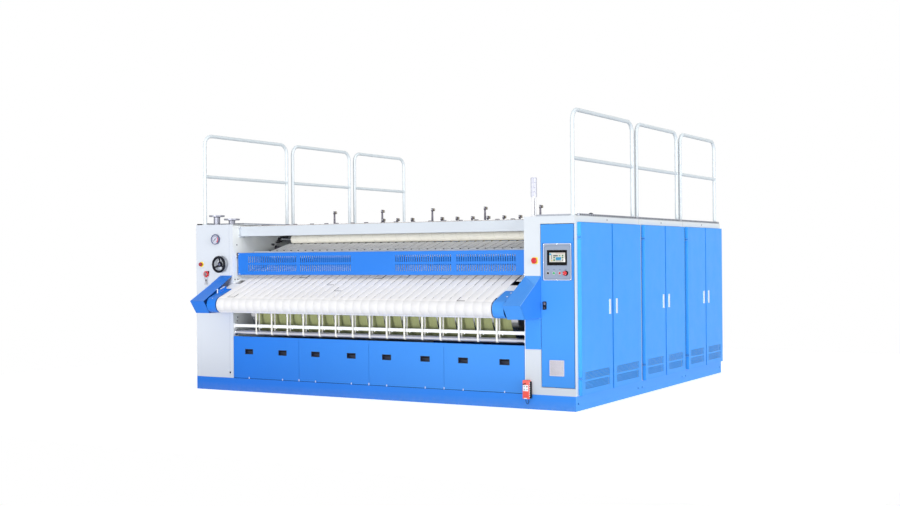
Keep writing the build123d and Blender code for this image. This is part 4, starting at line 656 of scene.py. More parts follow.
@dataclass(frozen=True)
class BeltCloth(Finish):
    """Woven belting: lengthwise cords, cross threads and faint soiling from linen and steam."""

    thread: float = 0.0022
    soil: str = "#CFC9B8"
    soiling: float = 0.18

    def dress(self, tree: Tree, shader: Node, place: Socket) -> None:
        """Weave of sin(x)·sin(y + z) threads, streaks along the run, and blotches of soil."""
        base = self.colour_drift(tree, shader, place, 2.2, 0.05)
        axes = add(tree, "SeparateXYZ", {0: place})
        turn = 2 * math.pi / self.thread
        warp = maths(tree, "SINE", maths(tree, "MULTIPLY", axes.outputs[0], turn))
        run = maths(tree, "ADD", axes.outputs[1], axes.outputs[2])
        weft = maths(tree, "SINE", maths(tree, "MULTIPLY", run, turn))
        weave = maths(tree, "MULTIPLY", warp, weft)
        streak_map = add(tree, "Mapping", {"Vector": place, "Scale": (46.0, 2.0, 2.0)})
        streak = cloud(tree, streak_map.outputs[0], 1.0, 4.0)
        patch = cloud(tree, place, 4.5, 5.0)
        stain = maths(
            tree, "MULTIPLY", remap(tree, streak, 0.42, 0.72, 0.0, 1.0),
            remap(tree, patch, 0.4, 0.7, 0.2, 1)
        )
        amount = maths(tree, "MULTIPLY", stain, self.soiling)
        tree.links.new(mix(tree, amount, base, linear(self.soil)), shader.inputs["Base Color"])
        shader.inputs["Sheen Weight"].default_value = 0.15
        shader.inputs["Sheen Roughness"].default_value = 0.6
        self.relief(tree, shader, weave, 0.00025, 0.4)


@dataclass(frozen=True)
class FeltWrap(Finish):
    """Needled felt wound in a spiral round a roller, with a faint seam between its turns."""

    lead: float = 0.16

    def dress(self, tree: Tree, shader: Node, place: Socket) -> None:
        """Fibre mottling 4 mm across and a seam each 160 mm, slanting by the height."""
        base = self.colour_drift(tree, shader, place, 9.0, 0.06)
        axes = add(tree, "SeparateXYZ", {0: place})
        slant = maths(tree, "ADD", axes.outputs[0], maths(tree, "MULTIPLY", axes.outputs[2], 0.5))
        turn = maths(tree, "FRACT", maths(tree, "MULTIPLY", slant, 1 / self.lead))
        seam = remap(
            tree, maths(tree, "ABSOLUTE", maths(tree, "SUBTRACT", turn, 0.5)), 0.0, 0.02, 0.35, 0.0
        )
        tree.links.new(mix(tree, seam, base, linear("#B9B49C")), shader.inputs["Base Color"])
        fibre = cloud(tree, place, 240.0, 5.0)
        shader.inputs["Sheen Weight"].default_value = 0.3
        self.relief(tree, shader, fibre, 0.0012, 0.5)


@dataclass(frozen=True)
class Glow(Finish):
    """A lit field of the screen: its colour glows through clear glass."""

    strength: float = 0.8

    def dress(self, tree: Tree, shader: Node, place: Socket) -> None:
        """Even light with the faint grid of the picture elements."""
        grid = add(
            tree, "TexWave", {"Vector": place, "Scale": 900.0}, bands_direction="Z"
        ).outputs["Fac"]
        shade = remap(tree, grid, 0.0, 1.0, 0.93, 1.0)
        base = linear(self.colour)
        lit = mix(tree, shade, (0.0, 0.0, 0.0, 1.0), base)
        tree.links.new(lit, shader.inputs["Emission Color"])
        shader.inputs["Emission Strength"].default_value = self.strength
        shader.inputs["Base Color"].default_value = (0.01, 0.01, 0.01, 1.0)


# Royal blue powder coat on folded sheet: deep and softly glossy, with painted light making it paler
# towards the right
BLUE = PowderCoat("blue_powder_coat", "#1270D5", 0.42, drift=0.05, right="#3F8EE4")
GUARD_BLUE = PowderCoat(
    "blue_guard_powder_coat", "#146BCC", 0.42, drift=0.04, right="#2F7BD6", span=(-1.9, 1.9)
)
# The same coat on the base beams, with floor dust low down, painted light making it paler towards
# the right, and its outer right side painted bright as the lit side
BASE_BLUE = PowderCoat(
    "blue_base_powder_coat", "#1873DB", 0.45, drift=0.05, dust_top=0.1, right="#358DEC",
    span=(-2.0, 2.46), regions=(Region((2.4595, -FAR, -FAR), (FAR, FAR, FAR), "#4AA6FC", 0.45),)
)
# Side doors on the lit right side: the blue coat painted lighter as painted light, with flush pulls
# in a pale grey coat
DOOR_BLUE_PAINTED_LIGHT = PowderCoat(
    "blue_door_coat_painted_light", "#3AA0FB", 0.42, drift=0.05,
    regions=(Region((2.5053, -FAR, -FAR), (FAR, FAR, FAR), "#DDE1EA", 0.35, 0.3),),
)
# Control door: mid blue, painted as light as the blue coat's lit right end, round the pale plastic
# frame of its air vent
CONTROL_BLUE = PowderCoat(
    "blue_control_door_coat", "#3D8EE1", 0.42, drift=0.05,
    regions=(Region((2.182, -FAR, 0.346), (2.340, -2.2785, 0.504), "#C4C2C8", 0.5),),
)
# Blue sheet at other angles, painted for light and shade: dark as painted shade in the door gaps,
# pale as painted highlights on folded edges, and lighter as painted light on the right wing's side
# and facet
GAP_SHADE_BLUE = PowderCoat("blue_gap_painted_shade", "#0F4FC4", 0.6, drift=0.03, shine=0.1)
EDGE_HIGHLIGHT_BLUE = PowderCoat("blue_edge_painted_highlight", "#7CB8FF", 0.35, drift=0.02)
WING_SIDE_LIT_BLUE = PowderCoat("blue_wing_side_painted_light", "#3A8EF0", 0.45, drift=0.04)
WING_FACET_LIT_BLUE = PowderCoat("blue_wing_facet_painted_light", "#4C9CEE", 0.4, drift=0.04)
# Cool white powder coat of the cabinets: bright sides, and fronts painted one shade greyer as shade
# where they face away from the light
WHITE = PowderCoat(
    "white_powder_coat", "#E5E9E9", 0.45, drift=0.035,
    regions=(
        Region((-FAR, -FAR, -FAR), (1.8, -2.2725, FAR), "#C6CCD5", 0.45),
        Region((1.8, -FAR, -FAR), (FAR, -2.2725, FAR), "#CAD0D6", 0.45)
    )
)
# The front beam in shade under the roof sheets; the bars below it catch the light
BEAM_WHITE = PowderCoat(
    "beam_white_powder_coat", "#C2C9D1", 0.45, drift=0.035,
    regions=(Region((-FAR, -FAR, -FAR), (FAR, FAR, 1.5), "#F0F2F0", 0.45),)
)
# Warm white trim, rails under their wrapping film, and matt grey plates on the roof
WARM_WHITE = PowderCoat("warm_white_powder_coat", "#EDEFF2", 0.45, drift=0.03)
RAIL_WHITE = WrappedTube("rail_white_coat_with_film", "#D3DBE0", 0.4, drift=0.02)
ROOF_GREY = PowderCoat("roof_grey_coat", "#B9BEC6", 0.55, drift=0.08)
# Blue-grey coat of the operator's panel, with bright key bezels and a black stop collar
PANEL_GREY = PowderCoat(
    "panel_grey_blue_coat", "#8C98AB", 0.5, drift=0.06,
    regions=(
        Region((2.150, -FAR, -FAR), (2.320, -2.2738, FAR), "#D5D8DE", 0.25, 0.8),
        Region((2.330, -FAR, -FAR), (2.400, -2.2738, FAR), "#111216", 0.35),
    ),
)
# Thin drawn lines of the panels: a grey shadow and a pale rim that catches light
PANEL_LINE = PowderCoat("panel_line_grey", "#6C7892", 0.5)
PANEL_RIM = PowderCoat("panel_rim_pale", "#D9DDE8", 0.45)
# Zinc-coated pipe with lengthwise lines: dull grey, and painted dark as shade where it runs inside
PIPE_STEEL = DrawnSteel(
    "galvanised_pipe_steel", "#8F919D", 0.42, 0.5, along=2,
    regions=(Region((-FAR, -FAR, -FAR), (FAR, FAR, 1.5605), "#3B4046", 0.6, 0.3),),
)
# Plated and polished steel: mirror-bright screws and journals, softer sheen on the rolls
BRIGHT_STEEL = DrawnSteel("bright_plated_steel", "#D9DBE0", 0.22, 1.0)
CHROME_ROLLER = DrawnSteel("polished_roller_steel", "#CBCBD2", 0.36, 0.75)
HEATED_STEEL = DrawnSteel("polished_heated_roll_steel", "#B9BABD", 0.25, 1.0)
# Smaller metal parts: smoked bezels, grey locks, worn keys and a tan knob
BEZEL_STEEL = DrawnSteel("smoked_bezel_steel", "#6A6F8C", 0.4, 0.5)
LOCK_GREY = DrawnSteel("lock_barrel_grey", "#8D8B93", 0.35, 0.4)
KEY_METAL = DrawnSteel("worn_key_metal", "#8E8F94", 0.4, 0.5)
TAN_METAL = DrawnSteel("tan_brass_knob", "#8F8572", 0.45, 0.5)
# Darker drawn steel: rods and clips, galvanised gratings, and dark sheets painted as the shade seen
# through the belt gaps
DARK_STEEL = DrawnSteel("dark_drawn_steel", "#5B5862", 0.4, 0.7, along=2)
GRATING_STEEL = DrawnSteel("galvanised_grating_steel", "#A9AEB8", 0.45, 0.6)
GAP_SHADE_SHEET = DrawnSteel("dark_sheet_painted_gap_shade", "#3A3A40", 0.6, 0.3)
# Nose roller painted dark grey so the gaps between the belts round the nose show as shade, with its
# pale end beside the belts
NOSE_ROLLER_SHADE_GREY = MouldedPlastic(
    "nose_roller_grey_painted_gap_shade", "#505258", 0.6,
    regions=(Region((1.757, -FAR, -FAR), (FAR, FAR, FAR), "#DFE2E8", 0.5),)
)
# Cast and blackened iron: dull and sandy; the motors in grey enamel, the lacing hooks dark
IRON = CastIron("blackened_cast_iron", "#2B2D32", 0.6, 0.3)
MOTOR_GREY = CastIron("motor_grey_enamel", "#5D6570", 0.5, 0.1)
LACING = CastIron("dark_belt_lacing", "#3A3A40", 0.5, 0.4)
# Black mouldings, from satin cases and deep shadow to glossy bakelite
BLACK_PLASTIC = MouldedPlastic("black_moulded_plastic", "#101218", 0.4, shine=0.2)
DEEP_BLACK = MouldedPlastic("shadow_black_plastic", "#0B0C12", 0.7, shine=0.1)
NAVY_BLACK = MouldedPlastic("grip_cup_black_plastic", "#161C30", 0.5, shine=0.3)
GLOSS_BLACK = MouldedPlastic("gloss_black_bakelite", "#060A18", 0.25, shine=0.15)
SCREEN_BLACK = MouldedPlastic("screen_bezel_black", "#08090B", 0.25, shine=0.15)
# Signal colours in moulded plastic: reds of stops and remote, green key, yellow plates
RED = MouldedPlastic("red_moulded_plastic", "#C2121F", 0.35)
DEEP_RED = MouldedPlastic("deep_red_stop_head", "#98182A", 0.35)
ORANGE_RED = MouldedPlastic("orange_red_remote_case", "#FA6C60", 0.45)
RIB_RED = MouldedPlastic("remote_rib_red", "#E02C1E", 0.45)
GREEN = MouldedPlastic("green_key_plastic", "#0FA061", 0.3)
YELLOW = MouldedPlastic("yellow_warning_plate", "#F2CE2B", 0.4)
# Pale mouldings: white, warm grey of the vent, frosted panes of the signal tower, tan strip
WHITE_PLASTIC = MouldedPlastic("white_moulded_plastic", "#EEF0F2", 0.4)
PALE_PLASTIC = MouldedPlastic("pale_vent_plastic", "#D2CDD2", 0.5)
VENT_CORE = MouldedPlastic("vent_filter_grey", "#B4B2BA", 0.8)
LENS = MouldedPlastic("frosted_tower_lens", "#CDCFDC", 0.25)
LENS_DIM = MouldedPlastic("frosted_tower_lens_shade", "#A4A6B8", 0.3)
TAN = MouldedPlastic("tan_strip", "#B89A6E", 0.6)
# Printed dial behind the gauge's glass: bluish white with a red arc
DIAL_WHITE = MouldedPlastic("dial_face_white", "#BDC1D2", 0.5)
DIAL_RED = MouldedPlastic("dial_arc_red", "#D8323E", 0.4)
# Woven belting: white and slightly soiled at the feed, with the front of the nose painted grey as
# shade, bright above, khaki round the rolls
BELT_WHITE = BeltCloth(
    "white_feed_belting", "#F4F2F1", 0.75,
    regions=(Region((-FAR, -FAR, -FAR), (FAR, -2.690, FAR), "#D6D6D8", 0.75),)
)
UPPER_BELTING = BeltCloth("upper_run_belting", "#FFFFFF", 0.75, soiling=0.06)
TAPE_WHITE = BeltCloth("white_return_tape", "#EDEBE4", 0.75)
BELT_KHAKI = BeltCloth("khaki_ironing_belting", "#989E6C", 0.85, soil="#7B7D50", soiling=0.5)
# Cream needle felt: soft, matt and faintly seamed
FELT = FeltWrap("cream_roller_felt", "#FBF8EC", 0.9)


# ------------------------------------------------------------------ pieces
def placed(name: str, data: bpy.types.ID) -> bpy.types.Object:
    """A new object of the data, linked to the scene."""
    made = bpy.data.objects.new(name, data)
    bpy.context.scene.collection.objects.link(made)
    return made


def standing(axes: Array, position: Vec = (0.0, 0.0, 0.0)) -> Matrix:
    """World matrix from the columns of its three axes and a position."""
    return Matrix(np.vstack([np.column_stack([axes, position]), [0, 0, 0, 1]]).tolist())


class Piece:
    """Gathers surfaces of one or more finishes into one object."""

    def __init__(self, name: str) -> None:
        """Starts an empty piece called name."""
        self.name = name
        self.parts: list[tuple[Patch, Finish]] = []

    def put(self, patch: Patch | Iterable[Patch], finish: Finish) -> "Piece":
        """Adds one patch or several in one finish."""
        for one in [patch] if isinstance(patch, Patch) else patch:
            self.parts.append((one, finish))
        return self

    def box(self, finish: Finish, *measures: object, **eased: float) -> None:
        """Adds one block in one finish."""
        self.put(block(*measures, **eased), finish)

    def turn(self, finish: Finish, *measures: object) -> None:
        """Adds one turned form in one finish."""
        self.put(turned(*measures), finish)

    def done(
        self, body: str, replaces: Sequence[str] = (), sharp: float = 35.0
    ) -> object:
        """Builds the object and lets it ride.

        Args:
            body: The CAD body it moves with.
            replaces: CAD nodes it stands for.
            sharp: Edges turning more than this many degrees stay crisp.

        Returns:
            The finished object.
        """
        points = np.concatenate([patch.points for patch, _ in self.parts])
        faces, numbers, finishes, start = [], [], [], 0
        for patch, finish in self.parts:
            if finish not in finishes:
                finishes.append(finish)
            own = (patch.quads + start).tolist() + (patch.caps + start).tolist()
            faces += own
            numbers += [finishes.index(finish)] * len(own)
            start += len(patch.points)
        mesh = bpy.data.meshes.new(self.name)
        mesh.from_pydata(points.tolist(), [], faces)
        mesh.polygons.foreach_set("material_index", np.array(numbers, np.int32))
        for finish in finishes:
            mesh.materials.append(finish.material())
        work = bmesh.new()
        work.from_mesh(mesh)
        bmesh.ops.remove_doubles(work, verts=work.verts, dist=1e-6)
        bmesh.ops.recalc_face_normals(work, faces=work.faces)
        work.to_mesh(mesh)
        work.free()
        mesh.polygons.foreach_set("use_smooth", np.ones(len(mesh.polygons), bool))
        mesh.set_sharp_from_angle(angle=math.radians(sharp))
        made = placed(self.name, mesh)
        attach(made, body)
        if replaces:
            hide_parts(*replaces)
        return made


def screws(
    piece: Piece, places: Sequence[Vec], facing: Facing, radius: float, finish: Finish
) -> None:
    """Domed screw heads with a round dimple, standing on their places."""
    head = [
        (radius, 0.0), (radius, radius * 0.25), (radius * 0.8, radius * 0.55),
        (radius * 0.4, radius * 0.68)
    ]
    first = turned(
        [*head, (radius * 0.3, radius * 0.45), (0.0, radius * 0.45)], (0, 0, 0), facing, 12
    )
    piece.put(first.repeated(places), finish)


def hex_bolts(
    piece: Piece, places: Sequence[Vec], facing: Facing, radius: float, finish: Finish
) -> None:
    """Hexagon heads on flat washers."""
    washer = turned(
        [(radius * 1.5, 0), (radius * 1.5, radius * 0.22), (0, radius * 0.22)], (0, 0, 0), facing,
        16
    )
    head = turned(
        [(radius, radius * 0.2), (radius, radius * 0.85), (radius * 0.8, radius), (0, radius)],
        (0, 0, 0), facing, 6
    )
    piece.put(washer.repeated(places), finish).put(head.repeated(places), finish)


def mushroom(radius: float) -> list[Pair]:
    """Profile of a stop button's head: undercut rim, rolled edge and a shallow dish on top."""
    rim = [
        (0.6, 0.0138), (0.97, 0.0142), (1.0, 0.0165), (1.0, 0.0215), (0.93, 0.0250), (0.72, 0.0272)
    ]
    crown = [(0.62, 0.0268), (0.56, 0.0262), (0.42, 0.0266), (0.2, 0.0277), (0.0, 0.028)]
    return [(share * radius, height) for share, height in rim + crown]


def laid_out(count: int, pitch: float) -> Array:
    """Middles of count equal parts laid side by side about zero, pitch apart."""
    return (np.arange(count) - (count - 1) / 2) * pitch


@dataclass(frozen=True)
class BeltRow:
    """Equal belts side by side, each wandering a little from its straight run."""

    count: int
    pitch: float
    width: float
    thickness: float
    corner: float
    wander: float
    seed: int

    def put(self, piece: Piece, path: Array, finish: Finish, widening: Array | float = 1.0) -> None:
        """Adds the row's closed loops to a piece.

        Args:
            piece: What gathers them.
            path: The loop's middle line, points of (y, z).
            finish: Their belting.
            widening: Stretch of the width, one value or one for each point.
        """
        section = rounded_outline(self.width, self.thickness, self.corner, 2)
        for n, x in enumerate(laid_out(self.count, self.pitch)):
            across = x + smooth_noise(len(path), self.wander, self.seed + n)
            piece.put(carried(path, section, across, widening=widening), finish)


class Dresser:
    """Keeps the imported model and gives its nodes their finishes."""

    def __init__(self, frame: dict) -> None:
        """Remembers the loaded frame."""
        self.nodes: dict[str, bpy.types.Object] = frame["nodes"]
        self.dressed: set[str] = set()

    def paint(self, finish: Finish, *names: str) -> None:
        """Puts one finish on every slot of the named nodes."""
        for name in names:
            mesh = self.nodes[name].data
            mesh.materials.clear()
            mesh.materials.append(finish.material())
            self.dressed.add(name)


# ------------------------------------------------------------------ studio
@dataclass
class Studio:
    """Camera of the photograph, floor, sky and lamps."""

    position: Vec = (7.5211, -13.3618, 1.5498)
    yaw: float = -0.5293
    pitch: float = 0.0024
    roll: float = -0.0083
    lens: float = 49.16

    def build(self) -> None:
        """Places the camera, the floor and the light."""
        self.camera()
        self.floor()
        self.sky()
        self.lamps()
        bpy.context.scene.view_settings.view_transform = "Standard"

    def camera(self) -> None:
        """Camera matrix from yaw, pitch and roll: columns right, up and backwards."""
        ahead = np.array(
            [
                math.sin(self.yaw) * math.cos(self.pitch),
                math.cos(self.yaw) * math.cos(self.pitch), math.sin(self.pitch)
            ]
        )
        level = np.array([math.cos(self.yaw), -math.sin(self.yaw), 0.0])
        upright = np.cross(level, ahead)
        right = math.cos(self.roll) * level + math.sin(self.roll) * upright
        up = -math.sin(self.roll) * level + math.cos(self.roll) * upright
        data = bpy.data.cameras.new("photograph_camera")
        data.lens, data.sensor_width, data.sensor_fit = self.lens, 36.0, "HORIZONTAL"
        data.clip_start, data.clip_end = 0.05, 200.0
        made = placed("photograph_camera", data)
        made.matrix_world = standing(np.stack([right, up, -ahead], 1), self.position)
        bpy.context.scene.camera = made

    def floor(self) -> None:
        """A wide pale floor that the camera sees as white, with the machine's own soft shadow."""
        mesh = bpy.data.meshes.new("studio_floor")
        size = 6.0
        corners = [
            (-size, -size, -0.001), (size, -size, -0.001), (size, size, -0.001),
            (-size, size, -0.001)
        ]
        mesh.from_pydata(corners, [], [(0, 1, 2, 3)])
        material = bpy.data.materials.new("studio_floor_white")
        material.use_nodes = True
        tree = material.node_tree
        shader = tree.nodes["Principled BSDF"]
        shader.inputs["Base Color"].default_value = (0.86, 0.86, 0.87, 1.0)
        shader.inputs["Roughness"].default_value = 0.9
        shader.inputs["Specular IOR Level"].default_value = 0.0
        white = add(tree, "Emission", {"Color": (1, 1, 1, 1), "Strength": 0.62})
        seen = add(tree, "LightPath").outputs
        rays = maths(tree, "MAXIMUM", seen["Is Camera Ray"], seen["Is Glossy Ray"])
        none = add(tree, "Emission", {"Strength": 0.0})
        extra = add(tree, "MixShader", {0: rays, 1: none.outputs[0], 2: white.outputs[0]})
        both = add(tree, "AddShader", {0: shader.outputs[0], 1: extra.outputs[0]})
        tree.links.new(both.outputs[0], tree.nodes["Material Output"].inputs["Surface"])
        mesh.materials.append(material)
        made = placed("studio_floor", mesh)

    def sky(self) -> None:
        """White to the eye and in reflections, and a gentler light on surfaces."""
        world = bpy.data.worlds.new("studio_sky")
        bpy.context.scene.world = world
        world.use_nodes = True
        tree = world.node_tree
        seen = add(tree, "LightPath").outputs
        rays = maths(tree, "MAXIMUM", seen["Is Camera Ray"], seen["Is Glossy Ray"])
        rays = maths(tree, "MAXIMUM", rays, seen["Is Transmission Ray"])
        lit = add(tree, "Background", {"Color": (0.99, 0.99, 1.0, 1.0), "Strength": 0.42})
        white = add(tree, "Background", {"Color": (1, 1, 1, 1), "Strength": 1.0})
        both = add(tree, "MixShader", {0: rays, 1: lit.outputs[0], 2: white.outputs[0]})
        tree.links.new(both.outputs[0], tree.nodes["World Output"].inputs["Surface"])

    def lamps(self) -> None:
        """Broad lamps from the right and above, and a level one that reaches under the beam."""
        for name, way, strength, spread in (
            ("side_lamp", (0.95, -0.25, 0.18), 1.5, 35.0),
            ("front_lamp", (0.14, -1.0, -0.03), 2.4, 20.0),
            ("top_lamp", (0.2, -0.5, 0.85), 0.5, 50.0),
        ):
            data = bpy.data.lights.new(name, "SUN")
            data.energy, data.angle = strength, math.radians(spread)
            placed(name, data).matrix_world = standing(self.towards(np.array(way)))

    def towards(self, way: Array) -> Array:
        """Axis columns of the turn whose backward axis points along way."""
        back = way / np.linalg.norm(way)
        side = np.cross((0.0, 0.0, 1.0), back)
        side = side / np.linalg.norm(side)
        up = np.cross(back, side)
        return np.stack([side, up, back], 1)


# ------------------------------------------------------------------ remote control
@dataclass
class RemoteControl:
    """Hanging radio remote with its strap, on a hook in front of the base."""

    x: float = 1.939
    back_y: float = -2.285
    front_y: float = -2.323
    bottom: float = 0.105
    top: float = 0.295
    width: float = 0.092
    strap_length: float = 0.1185
    strap_diameter: float = 0.005

    def build(self) -> None:
        """Makes the strap first, then the case."""
        self.strap()
        self.case()

    def strap(self) -> None:
        """Limp cord loop under the case, both ends inside it."""
        y = (self.back_y + self.front_y) / 2
        left, right, low = self.x - 0.016, self.x + 0.016, self.bottom - 0.050
        route = [(left, y, self.bottom), (left, y, low), (right, y, low), (right, y, self.bottom)]
        data = bpy.data.curves.new("hand_strap", "CURVE")
        data.dimensions = "3D"
        spline = data.splines.new("NURBS")
        spline.points.add(len(route) - 1)
        for point, place in zip(spline.points, route):
            point.co = (*place, 1.0)
        spline.order_u = 3
        spline.use_endpoint_u = True
        spline.resolution_u = 24
        data.bevel_depth = self.strap_diameter / 2
        data.bevel_resolution = 3
        data.use_fill_caps = True
        data.materials.append(BLACK_PLASTIC.material())
        made = placed("hand_strap", data)
        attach(made, "remote_control")
        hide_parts("remote_strap")

    def case(self) -> None:
        """Red case with black end caps and side rail, pale key field and four keys."""
        half = self.width / 2
        piece = Piece("remote_case")
        piece.box(
            ORANGE_RED, (self.x - half, self.front_y + 0.004, self.bottom),
            (self.x + half - 0.014, self.back_y, self.top), FRONT, 0.010, 0.004, 3
        )
        piece.box(
            BLACK_PLASTIC, (self.x + half - 0.018, self.front_y + 0.008, self.bottom + 0.006),
            (self.x + half, self.back_y - 0.004, self.top - 0.012), FRONT, 0.008, 0.003, 3
        )
        piece.box(
            BLACK_PLASTIC, (self.x - 0.016, self.front_y + 0.010, self.top - 0.006),
            (self.x + 0.018, self.back_y - 0.006, self.top), UP, 0.006, 0.002, 3
        )
        face = self.front_y + 0.004
        piece.box(
            WHITE_PLASTIC, (self.x - 0.041, face - 0.002, 0.185), (self.x + 0.019, face, 0.246),
            radius=0.003
        )
        lever = block(
            (self.x - 0.043, face - 0.0035, 0.250), (self.x - 0.006, face, 0.261), radius=0.004
        )
        piece.put(lever.turned_about((self.x - 0.025, face, 0.2555), 1, (-18,)), BLACK_PLASTIC)
        piece.box(
            WHITE_PLASTIC, (self.x - 0.030, face - 0.003, 0.106), (self.x + 0.004, face, 0.115),
            radius=0.002
        )
        ribs = block(
            (self.x - 0.032, face - 0.0035, 0.122), (self.x - 0.0285, face, 0.178), radius=0.001
        )
        piece.put(ribs.repeated([(0.012 * n, 0, 0) for n in range(5)]), RIB_RED)
        side = self.x + half - 0.0165
        clips = block(
            (side, face - 0.0005, 0.128), (side + 0.006, face + 0.006, 0.140), radius=0.001
        )
        piece.put(clips.repeated([(0, 0, 0.022 * n) for n in range(7)]), WHITE_PLASTIC)
        for x, z in (
            (self.x - 0.024, 0.230), (self.x + 0.006, 0.230), (self.x - 0.024, 0.202),
            (self.x + 0.006, 0.202)
        ):
            key = turned(
                [(0.0, 0.0024), (0.006, 0.0024), (0.007, 0.0015), (0.007, 0)], (x, face - 0.002, z),
                FRONT, 16
            )
            piece.put(key, BLACK_PLASTIC if x > self.x and z > 0.21 else LENS_DIM)
        clip_z = 0.2555
        piece.box(
            BLACK_PLASTIC, (self.x - 0.012, self.back_y, clip_z),
            (self.x + 0.012, -2.2745, clip_z + 0.003)
        )
        piece.box(
            BLACK_PLASTIC, (self.x - 0.012, -2.2775, 0.2335),
            (self.x + 0.012, -2.2745, clip_z + 0.003)
        )
        piece.done("remote_control", ("remote_control",))


# ------------------------------------------------------------------ body
@dataclass
class Body:
    """Base, cabinets, side frames and their screws and seams."""

    front_y: float = FRONT_Y
    half: float = HALF_BODY
    inner: float = HALF_INSIDE
    edges: tuple[float, ...] = MODULE_EDGES
    top: float = ROOF_Z

    def build(self, dresser: Dresser) -> None:
        """Dresses the frame's nodes and adds its small parts."""
        dresser.paint(BASE_BLUE, "base_frame")
        dresser.paint(WHITE, "side_frame_left", "side_frame_right", "cabinet_left", "cabinet_right")
        dresser.paint(BLUE, "service_covers", "door_hinges")
        self.joint_hole_shade_plugs()
        self.door_gaps()
        self.seams()
        self.cover_screws()

    def joint_hole_shade_plugs(self) -> None:
        """Dark plugs deep in the base's joint holes: painted shade inside the holes."""
        piece = Piece("joint_hole_shade_plugs")
        for n in range(3):
            for y in (self.edges[n] + 0.0605, self.edges[n + 1] - 0.0605):
                for side, facing in SIDES:
                    plug = turned(
                        [(0.0117, 0), (0.0117, 0.006), (0, 0.008)],
                        (side * (self.half - 0.034), y, 0.075), facing, 20
                    )
                    piece.put(plug, DEEP_BLACK)
        piece.done("machine")

    def door_gaps(self) -> None:
        """Dark blue rebates behind the gaps between the doors of each pair: painted shade in the
        gaps.
        """
        piece = Piece("door_gap_painted_shade")
        for y in (-1.4085, 0.140, 1.5615):
            piece.box(GAP_SHADE_BLUE, (2.4605, y - 0.013, 0.158), (2.476, y + 0.013, 1.872), RIGHT)
        piece.done("machine")

    def seams(self) -> None:
        """Thin shadow lines where the folded sheets meet, and the shelf ends by the feed."""
        piece = Piece("cabinet_seams")
        line, foot, shelf = 0.0012, 0.152, 1.342
        x = -(self.inner + 0.054)
        piece.box(PANEL_LINE, (x, self.front_y - 0.0006, foot), (x + line, self.front_y, self.top))
        x = self.inner + 0.004
        piece.box(
            WARM_WHITE, (x, self.front_y - 0.0008, foot), (self.inner + 0.008, self.front_y, shelf)
        )
        for n in (1, 2):
            y = self.edges[n]
            piece.box(
                PANEL_LINE, (self.half, y - line, foot), (self.half + 0.0008, y + line, self.top)
            )
            piece.box(
                PANEL_LINE, (-self.half - 0.0008, y - line, foot), (-self.half, y + line, self.top)
            )
        piece.done("machine")

    def cover_screws(self) -> None:
        """Screw heads on the headers, the inner walls, the left side's covers and the rear."""
        piece = Piece("body_screws")
        header = [(self.half, y, 1.911) for y in (-1.46, 0.12, 1.54)]
        screws(piece, header, RIGHT, 0.007, DARK_STEEL)
        screws(piece, [(-self.half, p[1], p[2]) for p in header], LEFT, 0.007, DARK_STEEL)
        spots = (
            (-2.238, 1.297), (-2.190, 1.297), (-2.242, 1.232), (-2.20, 1.70), (-2.20, 1.55),
            (-2.196, 0.853), (-2.205, 0.812)
        )
        wall = [(-self.inner, y, z) for y, z in spots]
        screws(piece, wall, RIGHT, 0.008, DARK_STEEL)
        screws(piece, [(self.inner, p[1], p[2]) for p in wall], LEFT, 0.008, DARK_STEEL)
        spans = (
            (-2.217, -1.4235), (-1.3935, -0.632), (-0.508, 0.125), (0.155, 0.788), (0.912, 1.5465),
            (1.5765, 2.211)
        )
        cover_face = -2.5004
        edge = [
            (cover_face, y, z)
            for a, b in spans
            for y in (a + 0.03, b - 0.03)
            for z in (0.19, 0.75, 1.3, 1.84)
        ]
        screws(piece, edge, LEFT, 0.0068, BRIGHT_STEEL)
        # The rear screws sit in the covers' skin
        sunk = -self.front_y - 0.0046
        rear = [(x, sunk, z) for x in np.linspace(-1.86, 1.86, 9) for z in (0.19, 0.60, 1.30, 1.76)]
        screws(piece, rear, BACK, 0.007, BRIGHT_STEEL)
        edges = (self.half - 0.02, 1.93)
        rim = [
            (side * x, sunk, z) for x in edges for side in (1, -1) for z in np.linspace(0.2, 1.9, 7)
        ]
        screws(piece, rim, BACK, 0.007, DARK_STEEL)
        piece.done("machine")


